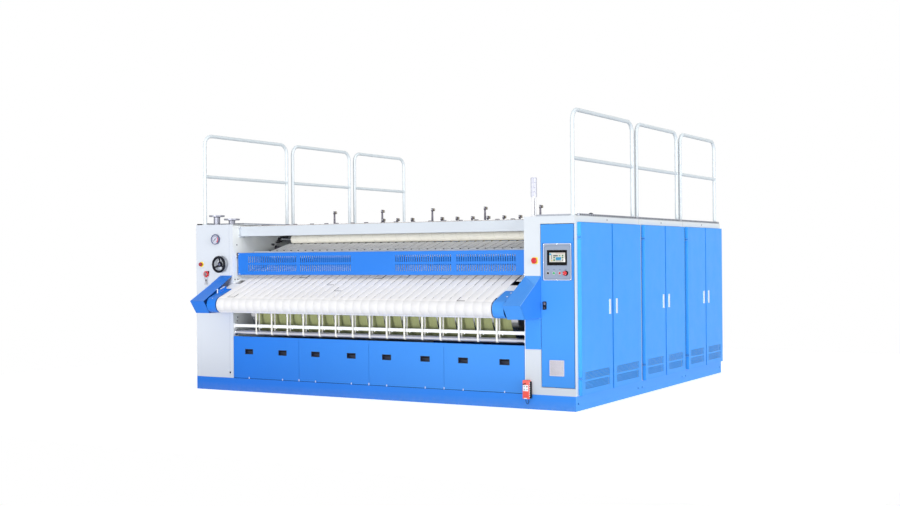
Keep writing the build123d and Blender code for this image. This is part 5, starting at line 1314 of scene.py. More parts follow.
# ------------------------------------------------------------------ left-hand controls
@dataclass
class LeftControls:
    """Gauge, valve handwheel, key switch and stop on the left cabinet, and the right stop."""

    face: float = FRONT_Y
    left_stop: Pair = (-2.377, 1.474)
    right_stop: Pair = (2.022, 1.496)
    gauge: Pair = (-2.146, 1.767)
    gauge_radius: float = 0.060
    wheel: Pair = (-2.062, 1.473)
    switch: Pair = (-2.298, 1.358)

    def build(self, dresser: Dresser) -> None:
        """Makes each control."""
        self.gauge_case()
        self.plates()
        self.stops()
        self.handwheel()
        self.key_switch()
        dresser.paint(BLACK_PLASTIC, "gauge_needle")

    def gauge_case(self) -> None:
        """Bezelled case with a white dial, scale marks and a red arc."""
        x, z = self.gauge
        origin = (x, self.face, z)
        r = self.gauge_radius
        piece = Piece("pressure_gauge")
        piece.turn(
            BEZEL_STEEL,
            [
                (r - 0.006, 0), (r - 0.004, 0.020), (r, 0.022), (r, 0.031), (r - 0.002, 0.034),
                (r - 0.007, 0.034), (r - 0.009, 0.025), (0, 0.025)
            ],
            origin, FRONT, 40
        )
        piece.turn(
            DIAL_WHITE, [(r - 0.0095, 0.0245), (r - 0.0095, 0.0252), (0, 0.0252)], origin, FRONT, 40
        )
        tick = block(
            (x - 0.0008, self.face - 0.0258, z + 0.036), (x + 0.0008, self.face - 0.025, z + 0.046),
            radius=0.0003
        )
        piece.put(tick.turned_about(origin, 1, np.linspace(-135, 135, 28)), BLACK_PLASTIC)
        long_tick = block(
            (x - 0.0014, self.face - 0.0260, z + 0.031), (x + 0.0014, self.face - 0.025, z + 0.047),
            radius=0.0003
        )
        piece.put(long_tick.turned_about(origin, 1, np.linspace(-135, 135, 10)), BLACK_PLASTIC)
        piece.put(self.arc(origin, 0.036, 0.047, -10, 85), DIAL_RED)
        piece.turn(DARK_STEEL, [(0.0035, 0.025), (0.0035, 0.031), (0, 0.0315)], origin, FRONT, 16)
        piece.done("machine", ("control_bases",))

    def arc(self, origin: Vec, inner: float, outer: float, start: float, turn: float) -> Patch:
        """Flat ring sector on the dial: points r·(cos t, sin t), t from below right upwards."""
        t = np.radians(np.linspace(start - 45, start - 45 + turn, 18))
        way = np.stack([np.cos(t), np.sin(t)], -1)
        low, high = np.full((18, 1), 0.0250), np.full((18, 1), 0.0262)
        local = np.stack(
            [
                np.hstack(p)
                for p in (
                    (outer * way, low), (outer * way, high), (inner * way, high), (inner * way, low)
                )
            ],
            1
        )
        return loft(FRONT.place(local, origin))

    def plates(self) -> None:
        """Yellow plates behind the stops, the switch's black socket and the remote's hook."""
        y = self.face - 0.005
        piece = Piece("control_plates")
        x, z = self.right_stop
        square = block((x - 0.033, y, z - 0.033), (x + 0.033, self.face, z + 0.033), radius=0.006)
        x, z = self.left_stop
        disc = turned(
            [(0.031, 0), (0.031, 0.004), (0.030, 0.005), (0, 0.005)], (x, self.face, z), FRONT, 36
        )
        piece.put([square, disc], YELLOW)
        x, z = self.switch
        piece.box(
            BLACK_PLASTIC, (x - 0.013, y, z - 0.013), (x + 0.038, self.face, z + 0.038),
            radius=0.004
        )
        for x, z in (self.right_stop, self.left_stop):
            collar = [(0.0155, 0.005), (0.0155, 0.009), (0.0125, 0.010), (0, 0.010)]
            piece.turn(BLACK_PLASTIC, collar, (x, self.face, z), FRONT, 24)
        piece.box(DARK_STEEL, (1.927, -2.282, 0.229), (1.951, self.face, 0.232))
        piece.box(DARK_STEEL, (1.927, -2.282, 0.229), (1.951, -2.279, 0.254))
        piece.done("machine")

    def stops(self) -> None:
        """Red mushroom heads on dark necks, the left one smaller and deeper red."""
        sizes = (
            ("left_stop_button", self.left_stop, 0.023),
            ("right_stop_button", self.right_stop, 0.030)
        )
        for name, (x, z), r in sizes:
            origin = (x, self.face - 0.005, z)
            piece = Piece(name.replace("_button", "_mushroom"))
            neck = turned([(0.010, -0.025), (0.010, 0.014), (0, 0.014)], origin, FRONT, 24)
            piece.put(neck, BLACK_PLASTIC)
            piece.turn(RED if x > 0 else DEEP_RED, mushroom(r), origin, FRONT, 40)
            piece.done(name, (name,))

    def handwheel(self) -> None:
        """Dished wheel: glossy rim, three swept spokes and a bright hub on its spindle."""
        x, z = self.wheel
        rim_y, hub_y = self.face - 0.060, self.face - 0.038
        piece = Piece("valve_handwheel")
        around = 72
        a = np.linspace(0, 2 * np.pi, around, endpoint=False)[:, None]
        grip = 0.0145 + 0.0005 * np.cos(12 * a)
        piece.put(torus(0.085, grip, around, 16, (x, rim_y, z), FRONT), GLOSS_BLACK)
        s = np.linspace(0, 1, 10)[:, None]
        outline = circle(1.0, 14)
        wide = 0.0150 - 0.003 * np.sin(np.pi * s)
        reach = 0.018 + 0.070 * s
        out = 0.022 * s**1.4
        spoke = np.stack(
            [wide * outline[:, 0], reach + 0 * outline[:, 0], out + 0.006 * outline[:, 1]], -1
        )
        first = loft(FRONT.place(spoke, (x, hub_y, z)))
        piece.put(first.turned_about((x, hub_y, z), 1, (0, 120, 240)), GLOSS_BLACK)
        piece.turn(
            GLOSS_BLACK,
            [(0.026, -0.012), (0.030, -0.009), (0.030, 0.008), (0.026, 0.012), (0, 0.012)],
            (x, hub_y, z), FRONT, 36
        )
        piece.turn(
            BEZEL_STEEL, [(0.015, 0.011), (0.015, 0.014), (0.013, 0.015), (0, 0.015)],
            (x, hub_y, z), FRONT, 28
        )
        piece.turn(
            BEZEL_STEEL, [(0.0085, 0.014), (0.0085, 0.020), (0.007, 0.021), (0, 0.021)],
            (x, hub_y, z), FRONT, 6
        )
        stem = turned([(0.0088, -0.170), (0.0088, 0.0)], (x, hub_y, z), FRONT, 20)
        piece.put(stem, BRIGHT_STEEL)
        piece.turn(
            BRIGHT_STEEL, [(0.018, 0.0), (0.018, 0.006), (0.012, 0.012), (0.0095, 0.012)],
            (x, self.face, z), FRONT, 28
        )
        piece.done("handwheel", ("handwheel",))

    def key_switch(self) -> None:
        """Red rotary head with a grey lock bar, and two keys on a wire ring."""
        x, z = self.switch
        origin = (x, self.face - 0.0053, z)
        piece = Piece("key_switch_knob")
        r = 0.038
        piece.turn(
            RED,
            [
                (r - 0.002, 0), (r, 0.002), (r, 0.011), (r - 0.004, 0.0155), (r * 0.62, 0.016),
                (r * 0.58, 0.0145), (0, 0.0145)
            ],
            origin, FRONT, 40
        )
        notch = block(
            (x - 0.004, origin[1] - 0.013, z + r - 0.003),
            (x + 0.004, origin[1] - 0.002, z + r - 0.0002), radius=0.001
        )
        piece.put(notch.turned_about(origin, 1, range(0, 360, 45)), WHITE_PLASTIC)
        piece.turn(
            LOCK_GREY, [(0.019, 0.0144), (0.019, 0.0165), (0.017, 0.0175), (0, 0.0175)], origin,
            FRONT, 32
        )
        piece.box(
            LOCK_GREY, (x - 0.007, origin[1] - 0.030, z - 0.024),
            (x + 0.007, origin[1] - 0.016, z + 0.024), radius=0.005
        )
        ring_z = z - r - 0.009
        ring_y = origin[1] - 0.014
        wire = torus(0.018, 0.002, 36, 8, (x, ring_y, ring_z), FRONT)
        piece.put(wire, KEY_METAL)
        for lean in (-16, 14):
            centre = (x, ring_y, ring_z - 0.018)
            bow = turned(
                [(0.009, -0.00125), (0.009, 0.00125), (0, 0.00125)], (x, ring_y, ring_z - 0.027),
                FRONT, 20
            )
            blade = block(
                (x - 0.0035, ring_y - 0.00125, ring_z - 0.078),
                (x + 0.0035, ring_y + 0.00125, ring_z - 0.034), radius=0.001
            )
            for part in (bow, blade):
                piece.put(part.turned_about(centre, 1, (lean,)), KEY_METAL)
        piece.done("key_switch_head", ("key_switch_head",))


# ------------------------------------------------------------------ feed conveyor
@dataclass
class FeedConveyor:
    """Sloping belts, their bed and arms, the nose covers and the side wings."""

    nose: Triple = (-2.640, 1.020, 0.0890)
    rear: Triple = (-1.790, 1.3980, 0.0520)
    count: int = 34
    pitch: float = 0.1035
    width: float = 0.0952
    slope: float = math.radians(21.7)
    face_start: Pair = (-2.6735, 1.1041)
    face_rise: float = 0.39797
    front_y: float = FRONT_Y
    facet: Pair = (-2.4333, 1.2510)

    def line(self, y: Array | float) -> Array | float:
        """Height of the belts' top face at depth y: z0 + rise·(y - y0)."""
        y0, z0 = self.face_start
        return z0 + self.face_rise * (y - y0)

    def build(self, dresser: Dresser) -> None:
        """Makes the belts, then what carries and covers them."""
        self.belts()
        self.lacings()
        self.bed()
        self.wings()
        # The nose roller's dark grey paints the shade in the belt gaps round the nose
        dresser.paint(NOSE_ROLLER_SHADE_GREY, "nose_roller")
        dresser.paint(HEATED_STEEL, "feed_rear_roller")
        dresser.paint(BLUE, "nose_covers")
        dresser.paint(WHITE_PLASTIC, "feed_key_1", "feed_key_2", "feed_lever")
        self.cover_details()

    def belts(self) -> None:
        """One woven loop after another; each wanders a little and sags below."""
        piece = Piece("feed_belt_loops")
        path = belt_path(self.nose, self.rear, sag=0.004, arc=18, run=12)
        # Round the nose and on the lower run the belts spread and their gaps close
        fold_y, lower_z, stretch = -2.664, 1.02, 1.084
        widening = np.where((path[:, 0] < fold_y) | (path[:, 1] < lower_z), stretch, 1.0)
        row = BeltRow(
            self.count, self.pitch, self.width, thickness=0.003, corner=0.0006, wander=0.0003,
            seed=0
        )
        row.put(piece, path, BELT_WHITE, widening)
        piece.done("machine", ("feed_belts",))

    def lacings(self) -> None:
        """Dark hooks that close some belts: a strip across and a stretch of the open edge."""
        piece = Piece("belt_lacings")
        for belt, y, edge_side in (
            (1, -2.665, 1), (12, -2.327, -1), (14, -2.479, -1), (17, -2.160, 1), (7, -2.140, 1),
            (30, -2.684, -1), (25, -2.150, -1), (20, -2.118, 1)
        ):
            x = laid_out(self.count, self.pitch)[belt]
            half = self.width / 2
            for x0, x1, y0, y1 in (
                (x - half + 0.002, x + half - 0.002, y - 0.0035, y + 0.0035),
                (x + edge_side * half - 0.003, x + edge_side * half + 0.003, y, y + 0.085),
            ):
                corners = [(x0, y0), (x1, y0), (x1, y1), (x0, y1)]
                ring = [
                    (cx, cy - 0.0002 * math.sin(self.slope), self.line(cy) - 0.0004)
                    for cx, cy in corners
                ]
                piece.put(hull_of(ring, (0, -0.0009 * math.sin(self.slope), 0.0013)), LACING)
        piece.done("machine")

    def slab(self, y0: float, y1: float, drop: float, height: float, x0: float, x1: float) -> Patch:
        """Plate that follows the belts, drop below their face."""
        corners = [
            (x0, y0, self.line(y0) - drop), (x1, y0, self.line(y0) - drop),
            (x1, y1, self.line(y1) - drop), (x0, y1, self.line(y1) - drop)
        ]
        return hull_of(corners, (0, 0, -height))

    def bed(self) -> None:
        """White slider plate under the run, with arms, cross tubes and a dark sheet lower down;
        dark sheets just under the belts in front of and behind the plate are painted shade seen
        through the belt gaps.
        """
        piece = Piece("feed_table_frame")
        piece.put(self.slab(-2.598, -2.305, 0.0042, 0.004, -1.765, 1.765), WARM_WHITE)
        # Dark sheets just under the belts: painted shade where the belt gaps look dark
        for front, rear in ((-2.630, -2.598), (-2.305, -1.90)):
            piece.put(self.slab(front, rear, 0.0052, 0.003, -1.765, 1.765), GAP_SHADE_SHEET)
        for side in (1, -1):
            for y0, y1, drop, height, x0, x1 in (
                (-2.467, -2.298, 0.0075, 0.004, 1.763, 1.898),
                (-2.446, -1.855, 0.0120, 0.104, 1.862, 1.899),
                (-2.190, -1.855, 0.0080, 0.004, 1.763, 1.898),
            ):
                piece.put(self.slab(y0, y1, drop, height, side * x0, side * x1), WARM_WHITE)
        tube = circle(0.022, 20)
        for y in (-2.52, -2.24, -1.97):
            z = float(self.line(y)) - 0.055
            ring = np.column_stack([np.full(20, -1.862), y + tube[:, 0], z + tube[:, 1]])
            piece.put(loft(np.stack([ring, ring + (3.724, 0, 0)])), DARK_STEEL)
        piece.put(self.slab(-2.33, -1.90, 0.088, 0.002, -1.855, 1.855), DARK_STEEL)
        piece.done("machine", ("feed_bed",))

    def wings(self) -> None:
        """Folded side wings: top with a bent corner facet, tip, bottom and outer side.

        They are open towards the belts. Each panel is a ruled sheet: its edge points at the
        inner and outer line, carried along a thickness of 3 mm.
        """
        piece = Piece("side_wings")
        fy, fz = self.facet
        line = [
            (self.front_y, 1.342), (fy, fz), (-2.770, 1.060), (-2.670, 0.921), (self.front_y, 0.921)
        ]
        for side in (1, -1):
            near, far, flare = side * 1.912, side * 2.088, side * (2.106 if side > 0 else 2.112)
            outer = [
                (far, *line[0]), (side * 2.094, fy, fz - 0.004), (flare, *line[2]),
                (flare, *line[3]), (far, *line[4])
            ]
            inner = [(near, *p) for p in line]
            thick = np.array(
                [
                    [0, 0.001, -0.003], [0, 0.002, -0.003], [0, 0.003, 0.0], [0, 0.003, 0.003],
                    [0, 0.0, 0.003]
                ]
            )
            skin = np.array([inner, outer], float)
            ring = np.concatenate([skin, (skin + thick)[::-1]])
            piece.put(loft(np.swapaxes(ring, 0, 1)), BLUE)
            wall = np.array(outer, float)
            cheek = hull_of(wall + (-side * 0.0002, 0, 0), (-side * 0.003, 0, 0))
            # The right wing's outer side is painted lighter blue as painted light on the lit side
            piece.put(cheek, WING_SIDE_LIT_BLUE if side > 0 else BLUE)
            facet = [
                (near, self.front_y - 0.001, 1.3425), (far, self.front_y - 0.001, 1.3425),
                (side * 2.094, fy, fz - 0.0005)
            ]
            # The right wing's corner facet is painted lighter blue as painted light
            piece.put(hull_of(facet, (0, 0.0, -0.002)), WING_FACET_LIT_BLUE if side > 0 else BLUE)
            ridge = wall[:3]
            for a, b in zip(ridge[:-1], ridge[1:]):
                rim = np.array(
                    [
                        (side * 0.0012, 0.0, 0.0014), (-side * 0.0035, 0.0, 0.0008),
                        (side * 0.0006, 0.0, -0.0035)
                    ]
                )
                # Pale blue rims on the ridges are painted highlights along the folded edges
                piece.put(loft(np.stack([a + rim, b + rim])), EDGE_HIGHLIGHT_BLUE)
        # Below the right wing: a front block in the painted-light blue, with a pale painted
        # highlight along its top edge
        piece.box(
            WING_SIDE_LIT_BLUE, (1.912, -2.285, 0.605), (2.086, self.front_y, 0.916), radius=0.002,
            edge=0.002
        )
        piece.box(EDGE_HIGHLIGHT_BLUE, (1.912, -2.2835, 0.9165), (2.086, self.front_y, 0.9205), radius=0.0005)
        piece.done("machine", ("feed_wings",), sharp=3.0)

    def cover_details(self) -> None:
        """Pale screws on the nose covers and dim slots in the switch box."""
        piece = Piece("nose_cover_screws")
        spots = [(1.868, y, float(self.line(y)) + 0.0002) for y in (-2.50, -2.585)]
        screws(piece, spots, UP, 0.009, WHITE_PLASTIC)
        screws(piece, [(-1.84, -2.70, float(self.line(-2.70)) - 0.001)], UP, 0.006, WHITE_PLASTIC)
        for y in (-2.540, -2.522, -2.504):
            z = float(self.line(y)) + 0.006
            piece.box(
                LENS_DIM, (-1.8485, y - 0.006, z - 0.002), (-1.8470, y + 0.006, z + 0.003), RIGHT,
                0.001, 0.0004
            )
        piece.done("machine")


# ------------------------------------------------------------------ upper conveyor and rolls
@dataclass
class UpperConveyor:
    """Guide belts over the guard, the felted pressure roller and the small levers by it."""

    nose: Triple = (-1.765, 1.586, 0.0440)
    rear: Triple = (-1.460, 1.665, 0.0440)
    felt_axis: Pair = (-1.400, 1.766)
    count: int = 33
    pitch: float = 0.1045
    width: float = 0.0975

    def build(self, dresser: Dresser) -> None:
        """Makes the belts, the roller and the levers, and dresses the bars."""
        piece = Piece("upper_belt_loops")
        path = belt_path(self.nose, self.rear, sag=0.002, arc=14, run=6)
        row = BeltRow(
            self.count, self.pitch, self.width, thickness=0.003, corner=0.0014, wander=0.0006,
            seed=100
        )
        row.put(piece, path, UPPER_BELTING)
        piece.done("machine", ("upper_belts",))
        dresser.paint(DARK_STEEL, "upper_drive_roller")
        dresser.paint(BEAM_WHITE, "cross_bars")
        self.pressure_roller()
        self.levers()
        self.slots()

    def pressure_roller(self) -> None:
        """Felt cover with soft shoulders over a steel roller and its journals."""
        piece = Piece("felted_roller")
        origin = (0.0, *self.felt_axis)
        half, r = 1.690, 0.050
        felt = [
            (0.042, -half), (r - 0.004, -half), (r - 0.0012, -half + 0.0012), (r, -half + 0.004)
        ]
        felt += [(r, x) for x in np.linspace(-half + 0.1, half - 0.1, 24)]
        felt += [(r, half - 0.004), (r - 0.0012, half - 0.0012), (r - 0.004, half), (0.042, half)]
        piece.turn(FELT, felt, origin, RIGHT, 40)
        for side, facing in SIDES:
            piece.turn(
                BRIGHT_STEEL,
                [
                    (0.0418, half - 0.03), (0.0418, half + 0.001), (0.030, half + 0.004),
                    (0.020, half + 0.004), (0.020, 1.978), (0.018, 1.980), (0, 1.980)
                ],
                origin, facing, 28
            )
        piece.done("pressure_roller", ("pressure_roller",))

    def levers(self) -> None:
        """Black lever arms and bearing holders that load the roller at both side walls."""
        piece = Piece("roller_lift_levers")
        for side in (1, -1):
            for (y0, z0), (y1, z1), w in (
                ((-1.39, 1.795), (-1.26, 1.800), 0.020), ((-1.455, 1.742), (-1.41, 1.775), 0.014),
            ):
                along = np.array([y1 - y0, z1 - z0])
                across = np.array([-along[1], along[0]]) / np.linalg.norm(along) * w / 2
                corners = [
                    (y0 - across[0], z0 - across[1]), (y1 - across[0], z1 - across[1]),
                    (y1 + across[0], z1 + across[1]), (y0 + across[0], z0 + across[1])
                ]
                ring = [(side * 1.898, *c) for c in corners]
                piece.put(hull_of(ring, (-side * 0.030, 0, 0)), IRON)
            holders = ((*self.felt_axis, 0.026), (-1.46, 1.738, 0.015), (-1.55, 1.706, 0.012))
            for y, z, r in holders:
                facing = LEFT if side > 0 else RIGHT
                origin = (side * HALF_INSIDE, y, z)
                piece.turn(
                    IRON,
                    [
                        (r, 0), (r, 0.034), (r * 0.8, 0.038), (r * 0.55, 0.038), (r * 0.5, 0.046),
                        (0, 0.046)
                    ],
                    origin, facing, 24
                )
        piece.done("machine")

    def slots(self) -> None:
        """Black blocks in the gaps between the belts at the front bend and under the felted roller:
        painted shade where the gaps look dark.
        """
        piece = Piece("belt_gap_painted_shade")
        x0 = laid_out(self.count, self.pitch)[0] - self.pitch / 2
        front = block((x0 - 0.0045, -1.812, 1.622), (x0 + 0.0045, -1.790, 1.634), UP, 0.003, 0.001)
        rear = block((x0 - 0.008, -1.475, 1.700), (x0 + 0.008, -1.440, 1.716), UP, 0.006, 0.003)
        moves = [(n * self.pitch, 0, 0) for n in range(self.count + 1)]
        piece.put(front.repeated(moves), BLACK_PLASTIC)
        piece.put(rear.repeated(moves), BLACK_PLASTIC)
        piece.done("machine")


@dataclass
class IroningSection:
    """Heated rolls with the wide belts that wrap under them."""

    count: int = 15
    pitch: float = 0.2245
    width: float = 0.205
    roll_radius: float = 0.327
    bar_radius: float = 0.035
    roll_pitch: float = ROLL_PITCH
    first_y: float = FIRST_ROLL_Y
    axis_z: float = ROLL_Z
    rise: float = 0.250

    def build(self, dresser: Dresser) -> None:
        """Makes the belts and dresses the rolls."""
        piece = Piece("ironing_belt_loops")
        row = BeltRow(
            self.count, self.pitch, self.width, thickness=0.003, corner=0.0014, wander=0.0012,
            seed=300
        )
        row.put(piece, self.path(), BELT_KHAKI)
        piece.done("machine", ("ironing_belts",))
        dresser.paint(HEATED_STEEL, *[f"roll_{n + 1}" for n in range(ROLLS)])

    def path(self) -> Array:
        """Closed line under every roll and over each bar between, then back along the roll tops.

        A run between roll and bar touches both on opposite sides, so it leaves them at
        lift - acos((R + r) / distance).

        Returns:
            Points of (y, z).
        """
        half = self.roll_pitch / 2
        distance = math.hypot(half, self.rise)
        leave = math.atan2(self.rise, half) - math.acos(
            (self.roll_radius + self.bar_radius) / distance
        )
        points = []
        last = ROLLS - 1
        for n in range(ROLLS):
            y = self.first_y + n * self.roll_pitch
            start = math.pi / 2 if n == 0 else math.pi - leave
            end = 2.5 * math.pi if n == last else 2 * math.pi + leave
            t = np.linspace(start, end, 30 if n in (0, last) else 22)
            points.append(
                np.stack(
                    [y + self.roll_radius * np.cos(t), self.axis_z + self.roll_radius * np.sin(t)],
                    -1
                )
            )
            if n < last:
                t = np.linspace(math.pi + leave, -leave, 10)
                points.append(
                    np.stack(
                        [
                            y + half + self.bar_radius * np.cos(t),
                            self.axis_z + self.rise + self.bar_radius * np.sin(t)
                        ],
                        -1
                    )
                )
        top = np.linspace(1, 0, 26)[1:-1, None]
        back, ahead = points[-1][-1], points[0][0]
        points.append(ahead + top * (back - ahead))
        return np.concatenate(points)


@dataclass
class ReturnTapes:
    """Narrow tapes round the bright roller and the upper bar under the nose."""

    low: Triple = (-2.230, 0.683, 0.0265)
    high: Triple = (-2.230, 1.020, 0.0265)
    count: int = 15
    pitch: float = 0.2245
    width: float = 0.022

    def build(self, dresser: Dresser) -> None:
        """Makes the tapes, roller bearings and the small clips on the bar."""
        piece = Piece("return_tape_loops")
        path = belt_path(self.low, self.high, arc=12, run=8)
        row = BeltRow(
            self.count, self.pitch, self.width, thickness=0.0022, corner=0.001, wander=0.0012,
            seed=500
        )
        row.put(piece, path, TAPE_WHITE)
        piece.done("machine", ("return_tapes",))
        dresser.paint(CHROME_ROLLER, "tape_roller")
        clips = Piece("tape_bar_clips")
        x0 = laid_out(self.count, self.pitch)[0] + self.pitch * 0.28
        clip = block((x0 - 0.007, -2.2485, 0.735), (x0 + 0.007, -2.2465, 0.750), radius=0.002)
        clips.put(clip.repeated([(n * self.pitch, 0, 0) for n in range(self.count)]), WHITE_PLASTIC)
        for side in (1, -1):
            facing = LEFT if side > 0 else RIGHT
            clips.turn(
                BRIGHT_STEEL, [(0.036, 0), (0.036, 0.016), (0.030, 0.022), (0.021, 0.024)],
                (side * HALF_INSIDE, *self.low[:2]), facing, 28
            )
            clips.box(
                WARM_WHITE, (side * HALF_INSIDE, -2.262, 0.735), (side * 1.886, -2.198, 0.785),
                RIGHT, 0.005
            )
        clips.done("machine")


# ------------------------------------------------------------------ guards, covers and doors
@dataclass
class GuardAndCovers:
    """Slotted finger guard, lower covers with grips, and side doors."""

    front_y: float = FRONT_Y
    covers: int = 4
    cover_width: float = 0.94625
    gap: float = 0.003
    grip_offset: float = 0.243
    grip_z: float = 0.463

    def build(self, dresser: Dresser) -> None:
        """Dresses the sheet parts and adds grips, catches and the guard's fittings."""
        dresser.paint(GUARD_BLUE, "finger_guard")
        dresser.paint(BLUE, "front_covers")
        dresser.paint(DOOR_BLUE_PAINTED_LIGHT, *[f"side_door_{n + 1}" for n in range(6)])
        self.grips()
        self.guard_fittings()

    def beside_middles(self) -> list[float]:
        """X of the two grips of each cover, one on either side of its middle."""
        step = self.cover_width + self.gap
        middles = [
            -HALF_INSIDE + self.gap + n * step + self.cover_width / 2 for n in range(self.covers)
        ]
        return [x + offset for x in middles for offset in (-self.grip_offset, self.grip_offset)]

    def grips(self) -> None:
        """Black moulded cups with a lip, lining each recess, and the bright catches below."""
        piece = Piece("cover_grips")
        outer, inner = rounded_outline(0.116, 0.060, 0.004), rounded_outline(0.102, 0.046, 0.003)
        wall = rounded_outline(0.107, 0.051, 0.003)
        y, z = self.front_y, self.grip_z
        for x in self.beside_middles():
            piece.put(hoop(outer, inner, 0.0016, (x, y, z), FRONT), NAVY_BLACK)
            piece.put(hoop(wall, inner, 0.021, (x, y + 0.0205, z), FRONT), NAVY_BLACK)
            floor = block(
                (x - 0.0535, y + 0.0195, z - 0.0255), (x + 0.0535, y + 0.0215, z + 0.0255)
            )
            piece.put(floor, NAVY_BLACK)
            lip = block(
                (x - 0.048, y + 0.002, z + 0.010), (x + 0.048, y + 0.006, z + 0.0235), radius=0.001
            )
            piece.put(lip, DEEP_BLACK)
        piece.done("machine")
        catches = Piece("cover_catches")
        for x in self.beside_middles():
            catches.box(
                PANEL_RIM, (x - 0.005, y - 0.0045, 0.150), (x + 0.005, y, 0.170), radius=0.003
            )
        for n in range(1, self.covers):
            x = -HALF_INSIDE + self.gap / 2 + n * (self.cover_width + self.gap)
            clip = block((x - 0.0045, y - 0.003, 0.152), (x + 0.0045, y, 0.176), radius=0.002)
            catches.put(clip, PANEL_RIM)
            tab = block((x - 0.0035, y - 0.003, 0.600), (x + 0.0035, y, 0.628), radius=0.002)
            catches.put(tab, BLUE)
        # A black strip under the covers' bottom edge is the painted shadow of the gap between the
        # covers and the base
        gap_shadow_strip = block((-HALF_INSIDE, y + 0.0005, 0.1503), (HALF_INSIDE, y + 0.028, 0.1562))
        catches.put(gap_shadow_strip, DEEP_BLACK)
        catches.done("machine")

    def guard_fittings(self) -> None:
        """Corner hinges, end screws and edge rubber of the guard."""
        piece = Piece("guard_fittings")
        for side in (1, -1):
            x = side * 1.872
            screws(
                piece, [(x, -2.200, 1.588), (side * 1.86, -2.200, 1.36)], FRONT, 0.007, BRIGHT_STEEL
            )
            piece.box(
                DARK_STEEL, (side * 1.879, -2.205, 1.570), (side * 1.8995, -2.180, 1.608), FRONT,
                0.004, 0.002
            )
        piece.box(PANEL_LINE, (-1.880, -2.2015, 1.3475), (1.880, -2.196, 1.350), radius=0.001)
        piece.done("finger_guard")


